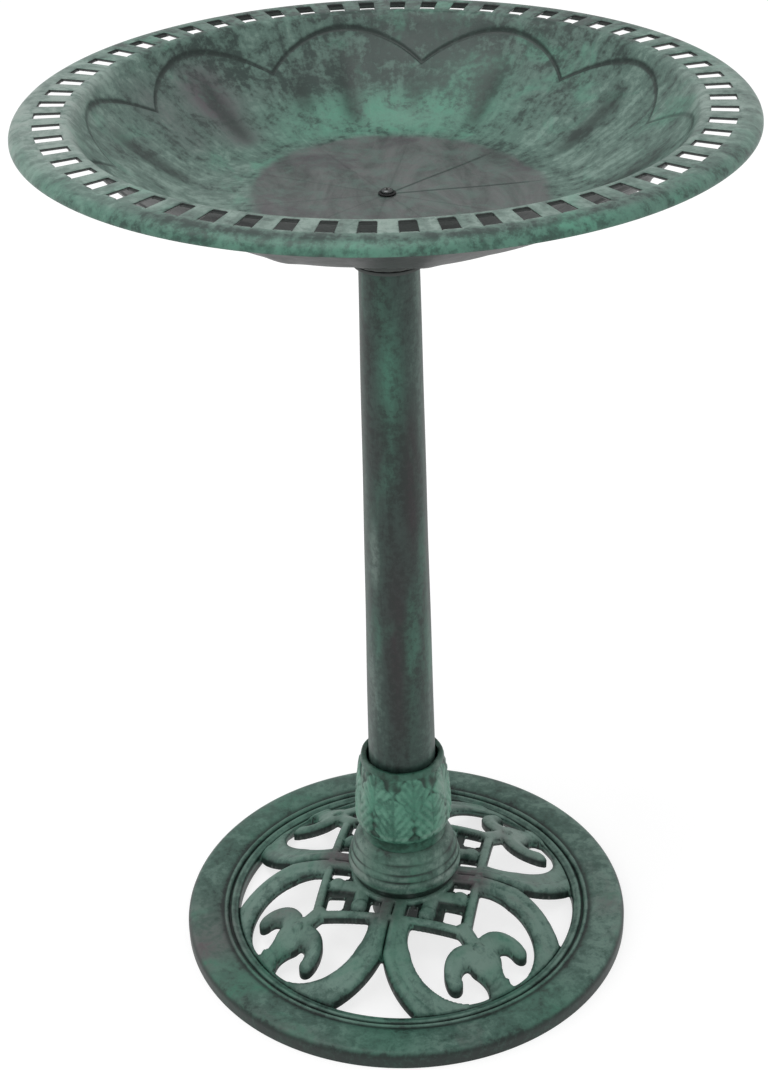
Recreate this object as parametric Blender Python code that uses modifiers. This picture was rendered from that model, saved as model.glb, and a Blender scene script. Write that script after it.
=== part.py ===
"""Pedestal bird bath: a fluted basin with a pierced rim on a tapered post, a leaf collar, a bell
foot and an openwork ring base.  Metres, +Z up, origin on the ground at the middle of the base.

The basin, its socket and its centre bolt screw down onto a plug in the top of the post, and the
post lifts out of the bell foot, which four screws hold to the base from below.
"""
import math

import bmesh
import bpy
from mathutils import Matrix, Vector

OBJECT_NAME = "bird_bath"

# Driving dimensions
HEIGHT = 0.715              # ground to the crest of the basin's rim
GAP = 0.0003                # clearance between pieces that rest on each other

# Basin
BASIN_RADIUS = 0.254
BASIN_WALL = 0.0025
BASIN_STEPS = 120           # two steps for each slot and the bar beside it
SLOT_COUNT = 60
SLOT_INNER_RADIUS = 0.2181
SLOT_OUTER_RADIUS = 0.2382
PETAL_COUNT = 10
PETAL_START_ANGLE = math.radians(9.0)
PETAL_CUSP_RADIUS = 0.185   # where two neighbouring petal arcs meet
PETAL_TOP_RADIUS = 0.2075   # the highest point of a petal's arc
PETAL_RECESS = 0.0016       # how deep a petal sits below the wall around it
PETAL_SCOOP = 0.0030        # how hollow it is across its width
FLOOR_RADIUS = 0.127
FLOOR_FLAT_RADIUS = 0.090
FLOOR_DEPTH = 0.0674
BOLT_RADIUS = 0.0025

# Post
POST_TOP_Z = 0.5965
POST_BOTTOM_Z = 0.0750
POST_TOP_RADIUS = 0.0221
POST_BOTTOM_RADIUS = 0.0284
POST_WALL = 0.0028
SPIGOT_RADIUS = 0.0188      # the plug's threaded part
SPIGOT_LENGTH = 0.0220
PLUG_DEPTH = 0.0300
SEAT_THICKNESS = 0.0020     # the flat washer that the socket screws down on

# Foot
FOOT_BORE_RADIUS = 0.0290
FOOT_BOTTOM_Z = 0.0475
NECK_RADIUS = 0.0318
BELL_RADIUS = 0.0471
COLLAR_BOTTOM_Z = 0.0905
COLLAR_TOP_Z = 0.1690
COLLAR_WALL = 0.0030

# Base
BASE_RADIUS = 0.1853
RING_HOLE_RADIUS = 0.1420
RING_WALL = 0.0035
HUB_HOLE_RADIUS = 0.0240
HUB_TOP_Z = FOOT_BOTTOM_Z - GAP
WEB_THICKNESS = 0.0085
SLEEVE_WALL = 0.0045                 # the short sleeve that hangs under the hub
SLEEVE_LOW = 0.0060
ARM_COUNT = 4
ARCH_ANGLE = math.radians(33.0)      # the first arch's middle line
ARCH_OFFSET = 0.0125                 # from an arch's middle line to the centres of its two curves
ARCH_CENTRE_RADIUS = 0.0985
ARCH_OUTER_CURVE = 0.0635
ARCH_HOLE_CENTRE_RADIUS = 0.0975
ARCH_HOLE_CURVE = 0.0405
SHOULDER_OFFSET = 0.0152             # a second, smaller curve beside the lattice frame
SHOULDER_CENTRE_RADIUS = 0.0887
SHOULDER_CURVE = 0.0350
LATTICE_HALF = 0.0661                # half the width of the square lattice frame
CORNER_WINDOW = 0.0230               # the square window in each corner of the frame
CORNER_WINDOW_PLACE = 0.0485         # its middle, from both of the frame's middle lines
SLIT_DEPTH = 0.0114                  # the small windows on each side of an arch's foot
SLIT_WIDTH = 0.0110
SLIT_PLACE = (0.0535, 0.0160)
LILY_CURVE = 0.0158                  # the line along the middle of a side lobe
SCREW_CIRCLE_RADIUS = 0.0345
SCREW_RADIUS = 0.0015

ROUND_STEPS = 32
BASE_STEPS = 64


def clear_scene():
    for old in list(bpy.data.objects):
        bpy.data.objects.remove(old, do_unlink=True)


def new_collection(name):
    collection = bpy.data.collections.new(name)
    bpy.context.scene.collection.children.link(collection)
    return collection


def material(name, color, roughness, metallic=0.0):
    made = bpy.data.materials.new(name)
    made.use_nodes = True
    shader = made.node_tree.nodes["Principled BSDF"]
    shader.inputs["Base Color"].default_value = (*color, 1.0)
    shader.inputs["Roughness"].default_value = roughness
    shader.inputs["Metallic"].default_value = metallic
    return made


def make_materials():
    return {
        "basin_resin": material("basin_resin", (0.090, 0.160, 0.130), 0.42),
        "post_resin": material("post_resin", (0.045, 0.075, 0.064), 0.42),
        "collar_resin": material("collar_resin", (0.110, 0.230, 0.170), 0.50),
        "foot_resin": material("foot_resin", (0.070, 0.125, 0.100), 0.45),
        "base_resin": material("base_resin", (0.080, 0.150, 0.120), 0.45),
        "dark_resin": material("dark_resin", (0.030, 0.036, 0.034), 0.55),
        "rubber": material("rubber", (0.020, 0.020, 0.020), 0.80),
        "zinc_steel": material("zinc_steel", (0.560, 0.570, 0.580), 0.35, 1.0),
    }


def add_object(name, mesh, collection, finish=None):
    made = bpy.data.objects.new(name, mesh)
    collection.objects.link(made)
    if finish:
        mesh.materials.clear()
        mesh.materials.append(finish)
    return made


def add_cutter(name, mesh, collection):
    cutter = add_object(name, mesh, collection)
    cutter.hide_render = True
    cutter.display_type = "WIRE"
    return cutter


def boolean(target, cutter, operation="DIFFERENCE"):
    modifier = target.modifiers.new(cutter.name, "BOOLEAN")
    modifier.operation = operation
    modifier.solver = "EXACT"
    modifier.object = cutter


def mesh_of(source, name):
    """The evaluated mesh of an object, with its loose seams welded."""
    bpy.context.view_layer.update()
    graph = bpy.context.evaluated_depsgraph_get()
    mesh = bpy.data.meshes.new_from_object(source.evaluated_get(graph))
    mesh.name = name
    work = bmesh.new()
    work.from_mesh(mesh)
    bmesh.ops.remove_doubles(work, verts=work.verts, dist=1e-6)
    work.to_mesh(mesh)
    work.free()
    return mesh


def shade(mesh, angle=35.0):
    mesh.shade_smooth()
    mesh.set_sharp_from_angle(angle=math.radians(angle))


def turned(name, profile, collection, finish=None, steps=ROUND_STEPS, closed=True):
    """A turned solid: profile is (radius, z) points, down the outer side and back up the inner."""
    mesh = bpy.data.meshes.new(name)
    edges = [(i, i + 1) for i in range(len(profile) - 1)]
    if closed:
        edges.append((len(profile) - 1, 0))
    mesh.from_pydata([(radius, 0.0, z) for radius, z in profile], edges, [])
    made = add_object(name, mesh, collection, finish)
    screw = made.modifiers.new("turn", "SCREW")
    screw.axis = "Z"
    screw.angle = math.tau
    screw.steps = steps
    screw.render_steps = steps
    screw.use_merge_vertices = True
    screw.merge_threshold = 1e-5
    screw.use_smooth_shade = True
    return made


def cylinder_mesh(name, radius, z_low, z_high, steps, centre=(0.0, 0.0)):
    work = bmesh.new()
    place = Matrix.Translation((centre[0], centre[1], (z_low + z_high) / 2))
    bmesh.ops.create_cone(work, cap_ends=True, segments=steps, radius1=radius, radius2=radius,
                          depth=z_high - z_low, matrix=place)
    mesh = bpy.data.meshes.new(name)
    work.to_mesh(mesh)
    work.free()
    return mesh


def prism_mesh(name, outline, z_low, z_high):
    """A flat outline, given as (x, y) points, filled and extruded between two heights."""
    curve = bpy.data.curves.new(name, "CURVE")
    curve.dimensions = "2D"
    curve.fill_mode = "BOTH"
    curve.extrude = (z_high - z_low) / 2
    spline = curve.splines.new("POLY")
    spline.points.add(len(outline) - 1)
    for point, (x, y) in zip(spline.points, outline):
        point.co = (x, y, 0.0, 1.0)
    spline.use_cyclic_u = True
    holder = bpy.data.objects.new(name, curve)
    bpy.context.scene.collection.objects.link(holder)
    mesh = mesh_of(holder, name)
    bpy.data.objects.remove(holder, do_unlink=True)
    mesh.transform(Matrix.Translation((0.0, 0.0, (z_low + z_high) / 2)))
    return mesh


def smooth_step(value):
    value = min(max(value, 0.0), 1.0)
    return value * value * (3.0 - 2.0 * value)


# --- Basin -------------------------------------------------------------------------------------

def basin_profile():
    """(radius, z) along the top surface, from the bolt hole out to the skirt's lower edge."""
    depths = [
        (BOLT_RADIUS + GAP, FLOOR_DEPTH), (FLOOR_FLAT_RADIUS, FLOOR_DEPTH),
        (FLOOR_RADIUS, 0.0660), (0.1430, 0.0600), (0.1680, 0.0455), (0.1900, 0.0280),
        (PETAL_TOP_RADIUS, 0.0095), (0.2125, 0.0016),
        (SLOT_INNER_RADIUS, 0.0002), (SLOT_OUTER_RADIUS, 0.0),
        (0.2500, 0.0016), (BASIN_RADIUS, 0.0087),
    ]
    return [(radius, HEIGHT - depth) for radius, depth in depths]


def petal_arc_radius(offset):
    """Radius of a petal's arched edge at an angle from the petal's middle line."""
    half = math.pi / PETAL_COUNT
    chord = PETAL_CUSP_RADIUS * math.sin(half)
    rise = PETAL_TOP_RADIUS - PETAL_CUSP_RADIUS * math.cos(half)
    arc = (chord * chord + rise * rise) / (2.0 * rise)
    centre = PETAL_TOP_RADIUS - arc
    return centre * math.cos(offset) + math.sqrt(arc * arc - (centre * math.sin(offset)) ** 2)


def petal_drop(radius, angle):
    """How far the basin's wall sinks below its plain turned shape, for the petals."""
    if radius > PETAL_TOP_RADIUS or radius < FLOOR_RADIUS - 0.001:
        return 0.0
    half = math.pi / PETAL_COUNT
    offset = (angle - PETAL_START_ANGLE) % (2.0 * half) - half
    inside = smooth_step((petal_arc_radius(offset) - radius) / 0.006)
    fade = smooth_step((radius - FLOOR_RADIUS) / 0.020)
    scoop = PETAL_SCOOP * math.cos(offset / half * math.pi / 2.0)
    return inside * fade * (PETAL_RECESS + scoop)


def is_slot(face_angle):
    """Bars stand on the -Y axis and every sixth degree from it, and slots between them."""
    pitch = math.tau / SLOT_COUNT
    offset = (face_angle + math.pi / 2.0) % pitch
    return pitch / 4.0 < offset < 3.0 * pitch / 4.0


def make_basin(collection, finish):
    source = turned("basin_source", basin_profile(), collection, None, BASIN_STEPS, closed=False)
    mesh = mesh_of(source, "basin")
    bpy.data.objects.remove(source, do_unlink=True)
    mesh.transform(Matrix.Rotation(math.pi / BASIN_STEPS, 4, "Z"))
    work = bmesh.new()
    work.from_mesh(mesh)
    slots = []
    for face in work.faces:
        centre = face.calc_center_median()
        radius = math.hypot(centre.x, centre.y)
        if SLOT_INNER_RADIUS < radius < SLOT_OUTER_RADIUS and is_slot(math.atan2(centre.y, centre.x)):
            slots.append(face)
    bmesh.ops.delete(work, geom=slots, context="FACES")
    for vertex in work.verts:
        radius = math.hypot(vertex.co.x, vertex.co.y)
        vertex.co.z -= petal_drop(radius, math.atan2(vertex.co.y, vertex.co.x))
    work.to_mesh(mesh)
    work.free()
    basin = add_object("basin", mesh, collection, finish)
    shell = basin.modifiers.new("wall", "SOLIDIFY")
    shell.thickness = BASIN_WALL
    shell.offset = -1.0
    shell.use_even_offset = True
    shade(mesh)
    return basin


# --- Basin fixings -----------------------------------------------------------------------------

FLOOR_TOP_Z = HEIGHT - FLOOR_DEPTH
FLOOR_UNDER_Z = FLOOR_TOP_Z - BASIN_WALL
SOCKET_TOP_Z = FLOOR_UNDER_Z - GAP
SOCKET_WEB = 0.0045
SOCKET_BOTTOM_Z = POST_TOP_Z + 0.0028 + SEAT_THICKNESS + 2 * GAP
SEAL_THICKNESS = 0.0012
HEAD_HEIGHT = 0.0024
NUT_HEIGHT = 0.0040
PLAIN_WASHER = 0.0010


def make_socket(collection, finish):
    web_under = SOCKET_TOP_Z - SOCKET_WEB
    bore = SPIGOT_RADIUS + 0.0007
    profile = [
        (BOLT_RADIUS + GAP, SOCKET_TOP_Z), (0.0460, SOCKET_TOP_Z), (0.0460, SOCKET_TOP_Z - 0.0040),
        (0.0370, SOCKET_TOP_Z - 0.0070), (0.0315, SOCKET_TOP_Z - 0.0140),
        (0.0295, SOCKET_BOTTOM_Z + 0.0080), (0.0312, SOCKET_BOTTOM_Z + 0.0060),
        (0.0312, SOCKET_BOTTOM_Z + 0.0010), (0.0302, SOCKET_BOTTOM_Z),
        (bore, SOCKET_BOTTOM_Z), (bore, web_under), (BOLT_RADIUS + GAP, web_under),
    ]
    return turned("basin_socket", profile, collection, finish)


def make_centre_fixings(collection, finishes):
    """The bolt through the basin's floor, its seal above, and the washer and nut below."""
    head_low = FLOOR_TOP_Z + GAP + SEAL_THICKNESS + GAP
    head_high = head_low + HEAD_HEIGHT
    washer_high = SOCKET_TOP_Z - SOCKET_WEB - GAP
    washer_low = washer_high - PLAIN_WASHER
    nut_high = washer_low - GAP
    nut_low = nut_high - NUT_HEIGHT
    bolt_low = nut_low - 0.0020
    head = [
        (0.0, head_high), (0.0030, head_high - 0.0002), (0.0043, head_high - 0.0010),
        (0.0046, head_low), (BOLT_RADIUS, head_low), (BOLT_RADIUS, bolt_low), (0.0, bolt_low),
    ]
    bolt = turned("centre_bolt", head, collection, finishes["zinc_steel"], 16, closed=False)
    hole = BOLT_RADIUS + GAP
    seal_low = FLOOR_TOP_Z + GAP
    turned("bolt_seal", ring_profile(hole, 0.0062, seal_low, seal_low + SEAL_THICKNESS),
           collection, finishes["rubber"], 16)
    turned("bolt_washer", ring_profile(hole, 0.0090, washer_low, washer_high),
           collection, finishes["zinc_steel"], 16)
    hex_hole = hole / math.cos(math.pi / 6.0)
    nut = turned("bolt_nut", ring_profile(hex_hole, 0.0046, nut_low, nut_high),
                 collection, finishes["zinc_steel"], 6)
    nut.modifiers["turn"].use_smooth_shade = False
    return bolt


def ring_profile(inner, outer, low, high):
    return [(inner, high), (outer, high), (outer, low), (inner, low)]


# --- Post --------------------------------------------------------------------------------------

def post_radius(z):
    share = (z - POST_BOTTOM_Z) / (POST_TOP_Z - POST_BOTTOM_Z)
    return POST_BOTTOM_RADIUS + (POST_TOP_RADIUS - POST_BOTTOM_RADIUS) * share


def make_post(collection, finish):
    stations = 3
    heights = [POST_TOP_Z + (POST_BOTTOM_Z - POST_TOP_Z) * i / stations for i in range(stations + 1)]
    outer = [(post_radius(z), z) for z in heights]
    inner = [(post_radius(z) - POST_WALL, z) for z in (heights[-1], heights[0])]
    return turned("post", outer + inner, collection, finish)


def make_plug(collection, finish):
    """The hollow plug in the post's top, with a flange on the post's end and a spigot above."""
    inside = post_radius(POST_TOP_Z) - POST_WALL - GAP
    low = POST_TOP_Z - PLUG_DEPTH
    flange_low = POST_TOP_Z + GAP
    flange_high = POST_TOP_Z + 0.0028
    top = flange_high + SPIGOT_LENGTH
    bore = 0.0140
    profile = [
        (bore, top), (SPIGOT_RADIUS - 0.0012, top), (SPIGOT_RADIUS, top - 0.0014),
        (SPIGOT_RADIUS, flange_high), (0.0262, flange_high), (0.0262, flange_low),
        (inside, flange_low), (inside, low), (bore, low),
    ]
    return turned("post_plug", profile, collection, finish)


def make_seat_washer(collection, finish):
    low = POST_TOP_Z + 0.0028 + GAP
    profile = ring_profile(SPIGOT_RADIUS + 0.0006, 0.0258, low, low + SEAT_THICKNESS)
    return turned("seat_washer", profile, collection, finish)


# --- Foot --------------------------------------------------------------------------------------

def make_collar(collection, finish):
    """The leaf collar: a hollow sleeve whose lip closes round the post."""
    outer = [
        (0.0326, COLLAR_TOP_Z), (0.0338, COLLAR_TOP_Z - 0.0020), (0.0352, 0.1600),
        (0.0384, 0.1290), (0.0398, 0.1080), (0.0394, 0.1010), (0.0370, 0.0945),
        (0.0352, COLLAR_BOTTOM_Z),
    ]
    sleeve = NECK_RADIUS + 0.0012
    inner = [
        (sleeve + GAP, COLLAR_BOTTOM_Z), (0.0366, 0.1010), (0.0367, 0.1080), (0.0353, 0.1290),
        (0.0325, 0.1580), (FOOT_BORE_RADIUS + GAP, 0.1630), (FOOT_BORE_RADIUS + GAP, COLLAR_TOP_Z),
    ]
    return turned("leaf_collar", outer + inner, collection, finish)


def make_bell(collection, cutters, finish):
    """The bell foot: a stepped bell with a sleeve that holds the post's lower end."""
    sleeve = NECK_RADIUS + 0.0012
    ledge = POST_BOTTOM_Z - GAP
    profile = [
        (sleeve - 0.0010, 0.1250), (sleeve, 0.1240), (sleeve, COLLAR_BOTTOM_Z - GAP),
        (NECK_RADIUS, 0.0860), (0.0345, 0.0745), (0.0392, 0.0700), (0.0405, 0.0660),
        (0.0448, 0.0628), (BELL_RADIUS, 0.0575), (BELL_RADIUS - 0.0007, 0.0525),
        (0.0440, FOOT_BOTTOM_Z), (0.0240, FOOT_BOTTOM_Z), (0.0240, ledge),
        (FOOT_BORE_RADIUS, ledge), (FOOT_BORE_RADIUS, 0.1250),
    ]
    bell = turned("bell_foot", profile, collection, finish)
    drill_low = FOOT_BOTTOM_Z - 0.0050
    drill_high = FOOT_BOTTOM_Z + 0.0115
    for index, (x, y) in enumerate(screw_places()):
        mesh = cylinder_mesh("drill", SCREW_RADIUS + GAP, drill_low, drill_high, 12, (x, y))
        boolean(bell, add_cutter(f"foot_pilot_{index + 1}", mesh, cutters))
    return bell


def screw_places():
    places = []
    for index in range(ARM_COUNT):
        angle = ARCH_ANGLE + math.tau * index / ARM_COUNT
        places.append((SCREW_CIRCLE_RADIUS * math.cos(angle), SCREW_CIRCLE_RADIUS * math.sin(angle)))
    return places


def make_foot_screws(collection, finish):
    """Four pan-head screws with washers, up through the base's hub into the bell foot."""
    washer_high = HUB_TOP_Z - WEB_THICKNESS - GAP
    washer_low = washer_high - 0.0008
    head_high = washer_low - GAP
    head_low = head_high - 0.0022
    top = FOOT_BOTTOM_Z + 0.0100
    screw_profile = [
        (0.0, top), (SCREW_RADIUS, top - 0.0015), (SCREW_RADIUS, head_high), (0.0033, head_high),
        (0.0030, head_low + 0.0006), (0.0020, head_low), (0.0, head_low),
    ]
    for index, (x, y) in enumerate(screw_places()):
        screw = turned(f"foot_screw_{index + 1}", screw_profile, collection, finish, 12, closed=False)
        screw.location = (x, y, 0.0)
        ring = ring_profile(SCREW_RADIUS + GAP, 0.0042, washer_low, washer_high)
        washer = turned(f"foot_washer_{index + 1}", ring, collection, finish, 12)
        washer.location = (x, y, 0.0)


# --- Base --------------------------------------------------------------------------------------

def web_top(radius):
    """Height of the domed openwork's upper face, from the ring in to the hub."""
    ring_z = 0.0115
    rise = HUB_TOP_Z - ring_z
    share = (RING_HOLE_RADIUS - radius) / (RING_HOLE_RADIUS - 0.052)
    share = min(max(share, 0.0), 1.0)
    return ring_z + rise * (1.0 - (1.0 - share) ** 1.8)


def base_profile():
    web = [0.052, 0.070, 0.094, 0.118, RING_HOLE_RADIUS]
    outer_inside = BASE_RADIUS - RING_WALL
    channel_top = 0.0115
    profile = [(HUB_HOLE_RADIUS, HUB_TOP_Z)]
    profile += [(radius, web_top(radius)) for radius in web]
    profile += [
        (0.1540, 0.0140), (0.1800, 0.0150), (BASE_RADIUS, 0.0085), (BASE_RADIUS, 0.0),
        (outer_inside - 0.0010, 0.0), (outer_inside - 0.0020, channel_top),
        (RING_HOLE_RADIUS + 0.0050, 0.0075), (RING_HOLE_RADIUS + 0.0045, 0.0),
        (RING_HOLE_RADIUS, 0.0),
    ]
    profile += [(radius, web_top(radius) - WEB_THICKNESS) for radius in reversed(web[:-1])]
    sleeve_radius = HUB_HOLE_RADIUS + SLEEVE_WALL
    profile.append((sleeve_radius, HUB_TOP_Z - WEB_THICKNESS))
    profile += [(sleeve_radius, SLEEVE_LOW), (HUB_HOLE_RADIUS, SLEEVE_LOW)]
    return profile


CUT_LOW = -0.010
CUT_HIGH = 0.070


def fluke_outline(side):
    """One curled side lobe of the lily: a tapering stroke along an arc, with a round tip."""
    centre_x, centre_y = 0.0162, ARCH_CENTRE_RADIUS + 0.0218
    first, last, steps = math.radians(205), math.radians(366), 8
    root_half, tip_half = 0.0098, 0.0056
    outer, inner = [], []
    for i in range(steps + 1):
        share = i / steps
        angle = first + (last - first) * share
        half = root_half + (tip_half - root_half) * share
        outer.append((LILY_CURVE + half, angle))
        inner.append((LILY_CURVE - half, angle))
    points = [(centre_x + r * math.cos(a), centre_y + r * math.sin(a)) for r, a in outer]
    tip_x = centre_x + LILY_CURVE * math.cos(last)
    tip_y = centre_y + LILY_CURVE * math.sin(last)
    for i in range(1, 5):
        turn = last + math.pi * i / 5
        points.append((tip_x + tip_half * math.cos(turn), tip_y + tip_half * math.sin(turn)))
    points += [(centre_x + r * math.cos(a), centre_y + r * math.sin(a)) for r, a in reversed(inner)]
    return [(side * x, y) for x, y in points]


def stem_outline():
    """The lily's middle stroke, from the lattice frame's corner out to the ring."""
    stations = [(0.0800, 0.0085), (0.0980, 0.0088), (0.1075, 0.0128), (0.1150, 0.0090),
                (0.1280, 0.0066), (0.1360, 0.0095), (0.1460, 0.0145)]
    right = [(half, y) for y, half in stations]
    left = [(-half, y) for y, half in reversed(stations)]
    return right + left


def arch_rotation(index):
    """Turns the arch's own frame, whose +Y points outwards, to arch number index."""
    angle = ARCH_ANGLE + math.tau * index / ARM_COUNT - math.pi / 2.0
    return Matrix.Rotation(angle, 4, "Z")


def make_arch_cutter(cutters):
    """The opening of one arch: overlapping round holes less the lily and the lattice."""
    circles = []
    for offset, radius, curve in ((ARCH_OFFSET, ARCH_HOLE_CENTRE_RADIUS, ARCH_HOLE_CURVE),
                                  (SHOULDER_OFFSET, SHOULDER_CENTRE_RADIUS, SHOULDER_CURVE)):
        for side in (-1.0, 1.0):
            extra = 0.0004 * len(circles)
            mesh = cylinder_mesh("arch_hole", curve, CUT_LOW - extra, CUT_HIGH + extra, 36,
                                 (side * offset, radius))
            circles.append(add_cutter(f"arch_hole_{len(circles) + 1}", mesh, cutters))
    opening = circles[0]
    for circle in circles[1:]:
        boolean(opening, circle, "UNION")
    keep_low, keep_high = CUT_LOW - 0.005, CUT_HIGH + 0.005
    frame = prism_mesh("lattice_keep", square_outline(LATTICE_HALF), keep_low, keep_high)
    frame.transform(Matrix.Rotation(math.pi / 4.0, 4, "Z"))
    stem = prism_mesh("stem_keep", stem_outline(), keep_low, keep_high)
    boolean(opening, add_cutter("lattice_keep", frame, cutters))
    boolean(opening, add_cutter("stem_keep", stem, cutters))
    for side, name in ((1.0, "right_fluke_keep"), (-1.0, "left_fluke_keep")):
        outline = fluke_outline(side)
        if side < 0:
            outline.reverse()
        fluke = prism_mesh(name, outline, keep_low + side * 0.0007, keep_high + side * 0.0007)
        boolean(opening, add_cutter(name, fluke, cutters))
    return mesh_of(opening, "arch_opening")


def square_outline(half):
    return [(half, -half), (half, half), (-half, half), (-half, -half)]


def make_gap_cutter(cutters):
    """The four three-cornered gaps between neighbouring arches, inside the ring."""
    disc = cylinder_mesh("gaps", RING_HOLE_RADIUS, CUT_LOW, CUT_HIGH, BASE_STEPS)
    gaps = add_cutter("gaps", disc, cutters)
    hub = cylinder_mesh("gap_hub", 0.0985, CUT_LOW - 0.004, CUT_HIGH + 0.004, 48)
    boolean(gaps, add_cutter("gap_hub", hub, cutters))
    for index in range(ARM_COUNT):
        for side in (-1.0, 1.0):
            centre = Vector((side * ARCH_OFFSET, ARCH_CENTRE_RADIUS, 0.0))
            centre.rotate(arch_rotation(index).to_3x3())
            extra = 0.0045 + 0.0005 * (index + (side > 0) * ARM_COUNT)
            mesh = cylinder_mesh("arch_rib", ARCH_OUTER_CURVE, CUT_LOW - extra, CUT_HIGH + extra,
                                 44, (centre.x, centre.y))
            name = f"arch_rib_{index + 1}_{'right' if side > 0 else 'left'}"
            boolean(gaps, add_cutter(name, mesh, cutters))
    return mesh_of(gaps, "gap_openings")


def make_lattice_cutter():
    """A square window in each corner of the lattice frame, and two slits beside each arch foot."""
    work = bmesh.new()
    height = CUT_HIGH - CUT_LOW
    slit_out, slit_along = SLIT_PLACE
    for index in range(ARM_COUNT):
        turn = Matrix.Rotation(ARCH_ANGLE + math.pi / 4.0 + math.tau * index / ARM_COUNT, 4, "Z")
        windows = (
            (CORNER_WINDOW_PLACE, CORNER_WINDOW_PLACE, CORNER_WINDOW, CORNER_WINDOW),
            (slit_out, slit_along, SLIT_DEPTH, SLIT_WIDTH),
            (slit_out, -slit_along, SLIT_DEPTH, SLIT_WIDTH),
        )
        for out, along, depth, width in windows:
            place = turn @ Matrix.Translation((out, along, (CUT_LOW + CUT_HIGH) / 2))
            size = Matrix.Diagonal((depth, width, height, 1.0))
            bmesh.ops.create_cube(work, size=1.0, matrix=place @ size)
    mesh = bpy.data.meshes.new("lattice_windows")
    work.to_mesh(mesh)
    work.free()
    return mesh


def make_base(collection, cutters, finish):
    base = turned("base_grille", base_profile(), collection, finish, BASE_STEPS)
    arch = make_arch_cutter(cutters)
    for index in range(ARM_COUNT):
        cutter = add_cutter(f"arch_opening_{index + 1}", arch, cutters)
        cutter.rotation_euler.z = arch_rotation(index).to_euler().z
        boolean(base, cutter)
    boolean(base, add_cutter("gap_openings", make_gap_cutter(cutters), cutters))
    boolean(base, add_cutter("lattice_windows", make_lattice_cutter(), cutters))
    for index, (x, y) in enumerate(screw_places()):
        mesh = cylinder_mesh("hub_hole", SCREW_RADIUS + GAP, CUT_LOW, CUT_HIGH, 12, (x, y))
        boolean(base, add_cutter(f"hub_hole_{index + 1}", mesh, cutters))
    return base


def main():
    clear_scene()
    parts = new_collection(OBJECT_NAME)
    cutters = new_collection("cutters")
    finishes = make_materials()
    make_basin(parts, finishes["basin_resin"])
    make_socket(parts, finishes["dark_resin"])
    make_centre_fixings(parts, finishes)
    make_seat_washer(parts, finishes["rubber"])
    make_post(parts, finishes["post_resin"])
    make_plug(parts, finishes["dark_resin"])
    make_collar(parts, finishes["collar_resin"])
    make_bell(parts, cutters, finishes["foot_resin"])
    make_foot_screws(parts, finishes["zinc_steel"])
    make_base(parts, cutters, finishes["base_resin"])


main()
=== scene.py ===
import math

import bpy
import numpy as np
from mathutils import Matrix, Vector


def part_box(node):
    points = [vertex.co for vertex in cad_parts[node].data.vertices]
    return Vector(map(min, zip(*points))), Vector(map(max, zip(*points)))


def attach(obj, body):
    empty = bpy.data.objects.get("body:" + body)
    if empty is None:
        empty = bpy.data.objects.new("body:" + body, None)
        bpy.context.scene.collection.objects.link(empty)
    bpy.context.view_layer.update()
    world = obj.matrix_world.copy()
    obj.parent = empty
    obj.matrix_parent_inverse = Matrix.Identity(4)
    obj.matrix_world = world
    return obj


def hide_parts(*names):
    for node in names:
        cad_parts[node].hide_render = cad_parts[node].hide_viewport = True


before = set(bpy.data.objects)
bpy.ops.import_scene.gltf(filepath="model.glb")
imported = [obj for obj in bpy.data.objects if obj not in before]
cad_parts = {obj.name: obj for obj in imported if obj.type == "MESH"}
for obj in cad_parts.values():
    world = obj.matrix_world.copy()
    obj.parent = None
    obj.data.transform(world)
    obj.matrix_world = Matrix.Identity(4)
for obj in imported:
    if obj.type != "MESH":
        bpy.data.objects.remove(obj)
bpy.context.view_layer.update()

TAU = math.tau
MM = 0.001


# --- Places read from the frame, and sizes in metres ---

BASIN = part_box("basin")
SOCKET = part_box("basin_socket")
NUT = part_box("bolt_nut")
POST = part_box("post")
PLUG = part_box("post_plug")
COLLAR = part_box("leaf_collar")
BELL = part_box("bell_foot")
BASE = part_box("base_grille")

RIM_Z = BASIN[1].z  # crest of the basin's rim
BASIN_RADIUS = BASIN[1].x
WALL = 2.5 * MM
SLOTS = 60
SLOT_INNER = 0.2190
SLOT_OUTER = 0.2374
PETALS = 10
HALF_PETAL = math.pi / PETALS
PETAL_START = math.radians(9.0)  # where one petal ends and the next begins
CUSP_RADIUS = 0.1850
ARC_TOP_RADIUS = 0.2075
FLOOR_RADIUS = 0.1240

POST_TOP_RADIUS = 0.0221
POST_FOOT_RADIUS = 0.0284
POST_WALL = 0.0028
THREAD_RADIUS = 0.0188
THREAD_PITCH = 0.0040  # two starts, so one turn lifts the basin 8 mm
THREAD_DEPTH = 0.00035
FOOT_BORE = 0.0290
SLEEVE_RADIUS = 0.0330
SCREW_CIRCLE = 0.0345

RING_HOLE = 0.1420
HUB_HOLE = 0.0240
HUB_TOP = BASE[1].z
WEB = 0.0085  # thickness of the openwork
HUB_SLEEVE = 0.0285  # the short sleeve that hangs under the hub
HUB_SLEEVE_LOW = 0.0060
ARMS = 4
ARCH_ANGLE = math.radians(33.0)
ARCH_OFFSET = 0.0125
HOLE_CENTRE = 0.0975  # middle of an arch's opening, from the base's axis
HOLE_CURVE = 0.0405
RIB_CENTRE = 0.0985  # middle of an arch's outer curve
RIB_CURVE = 0.0635
SHOULDER_OFFSET = 0.0152  # a smaller curve of the opening beside the lattice frame
SHOULDER_CENTRE = 0.0887
SHOULDER_CURVE = 0.0350
FRAME_HALF = 0.0668  # half the lattice frame's outer side
FRAME_BAR = 0.0078


# --- Mesh helpers ---

def smooth_step(value, low=0.0, high=1.0):
    share = np.clip((np.asarray(value, float) - low) / (high - low), 0.0, 1.0)
    return share * share * (3.0 - 2.0 * share)


def bell_curve(value, width):
    return np.exp(-(np.asarray(value, float) / width) ** 2)


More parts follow.
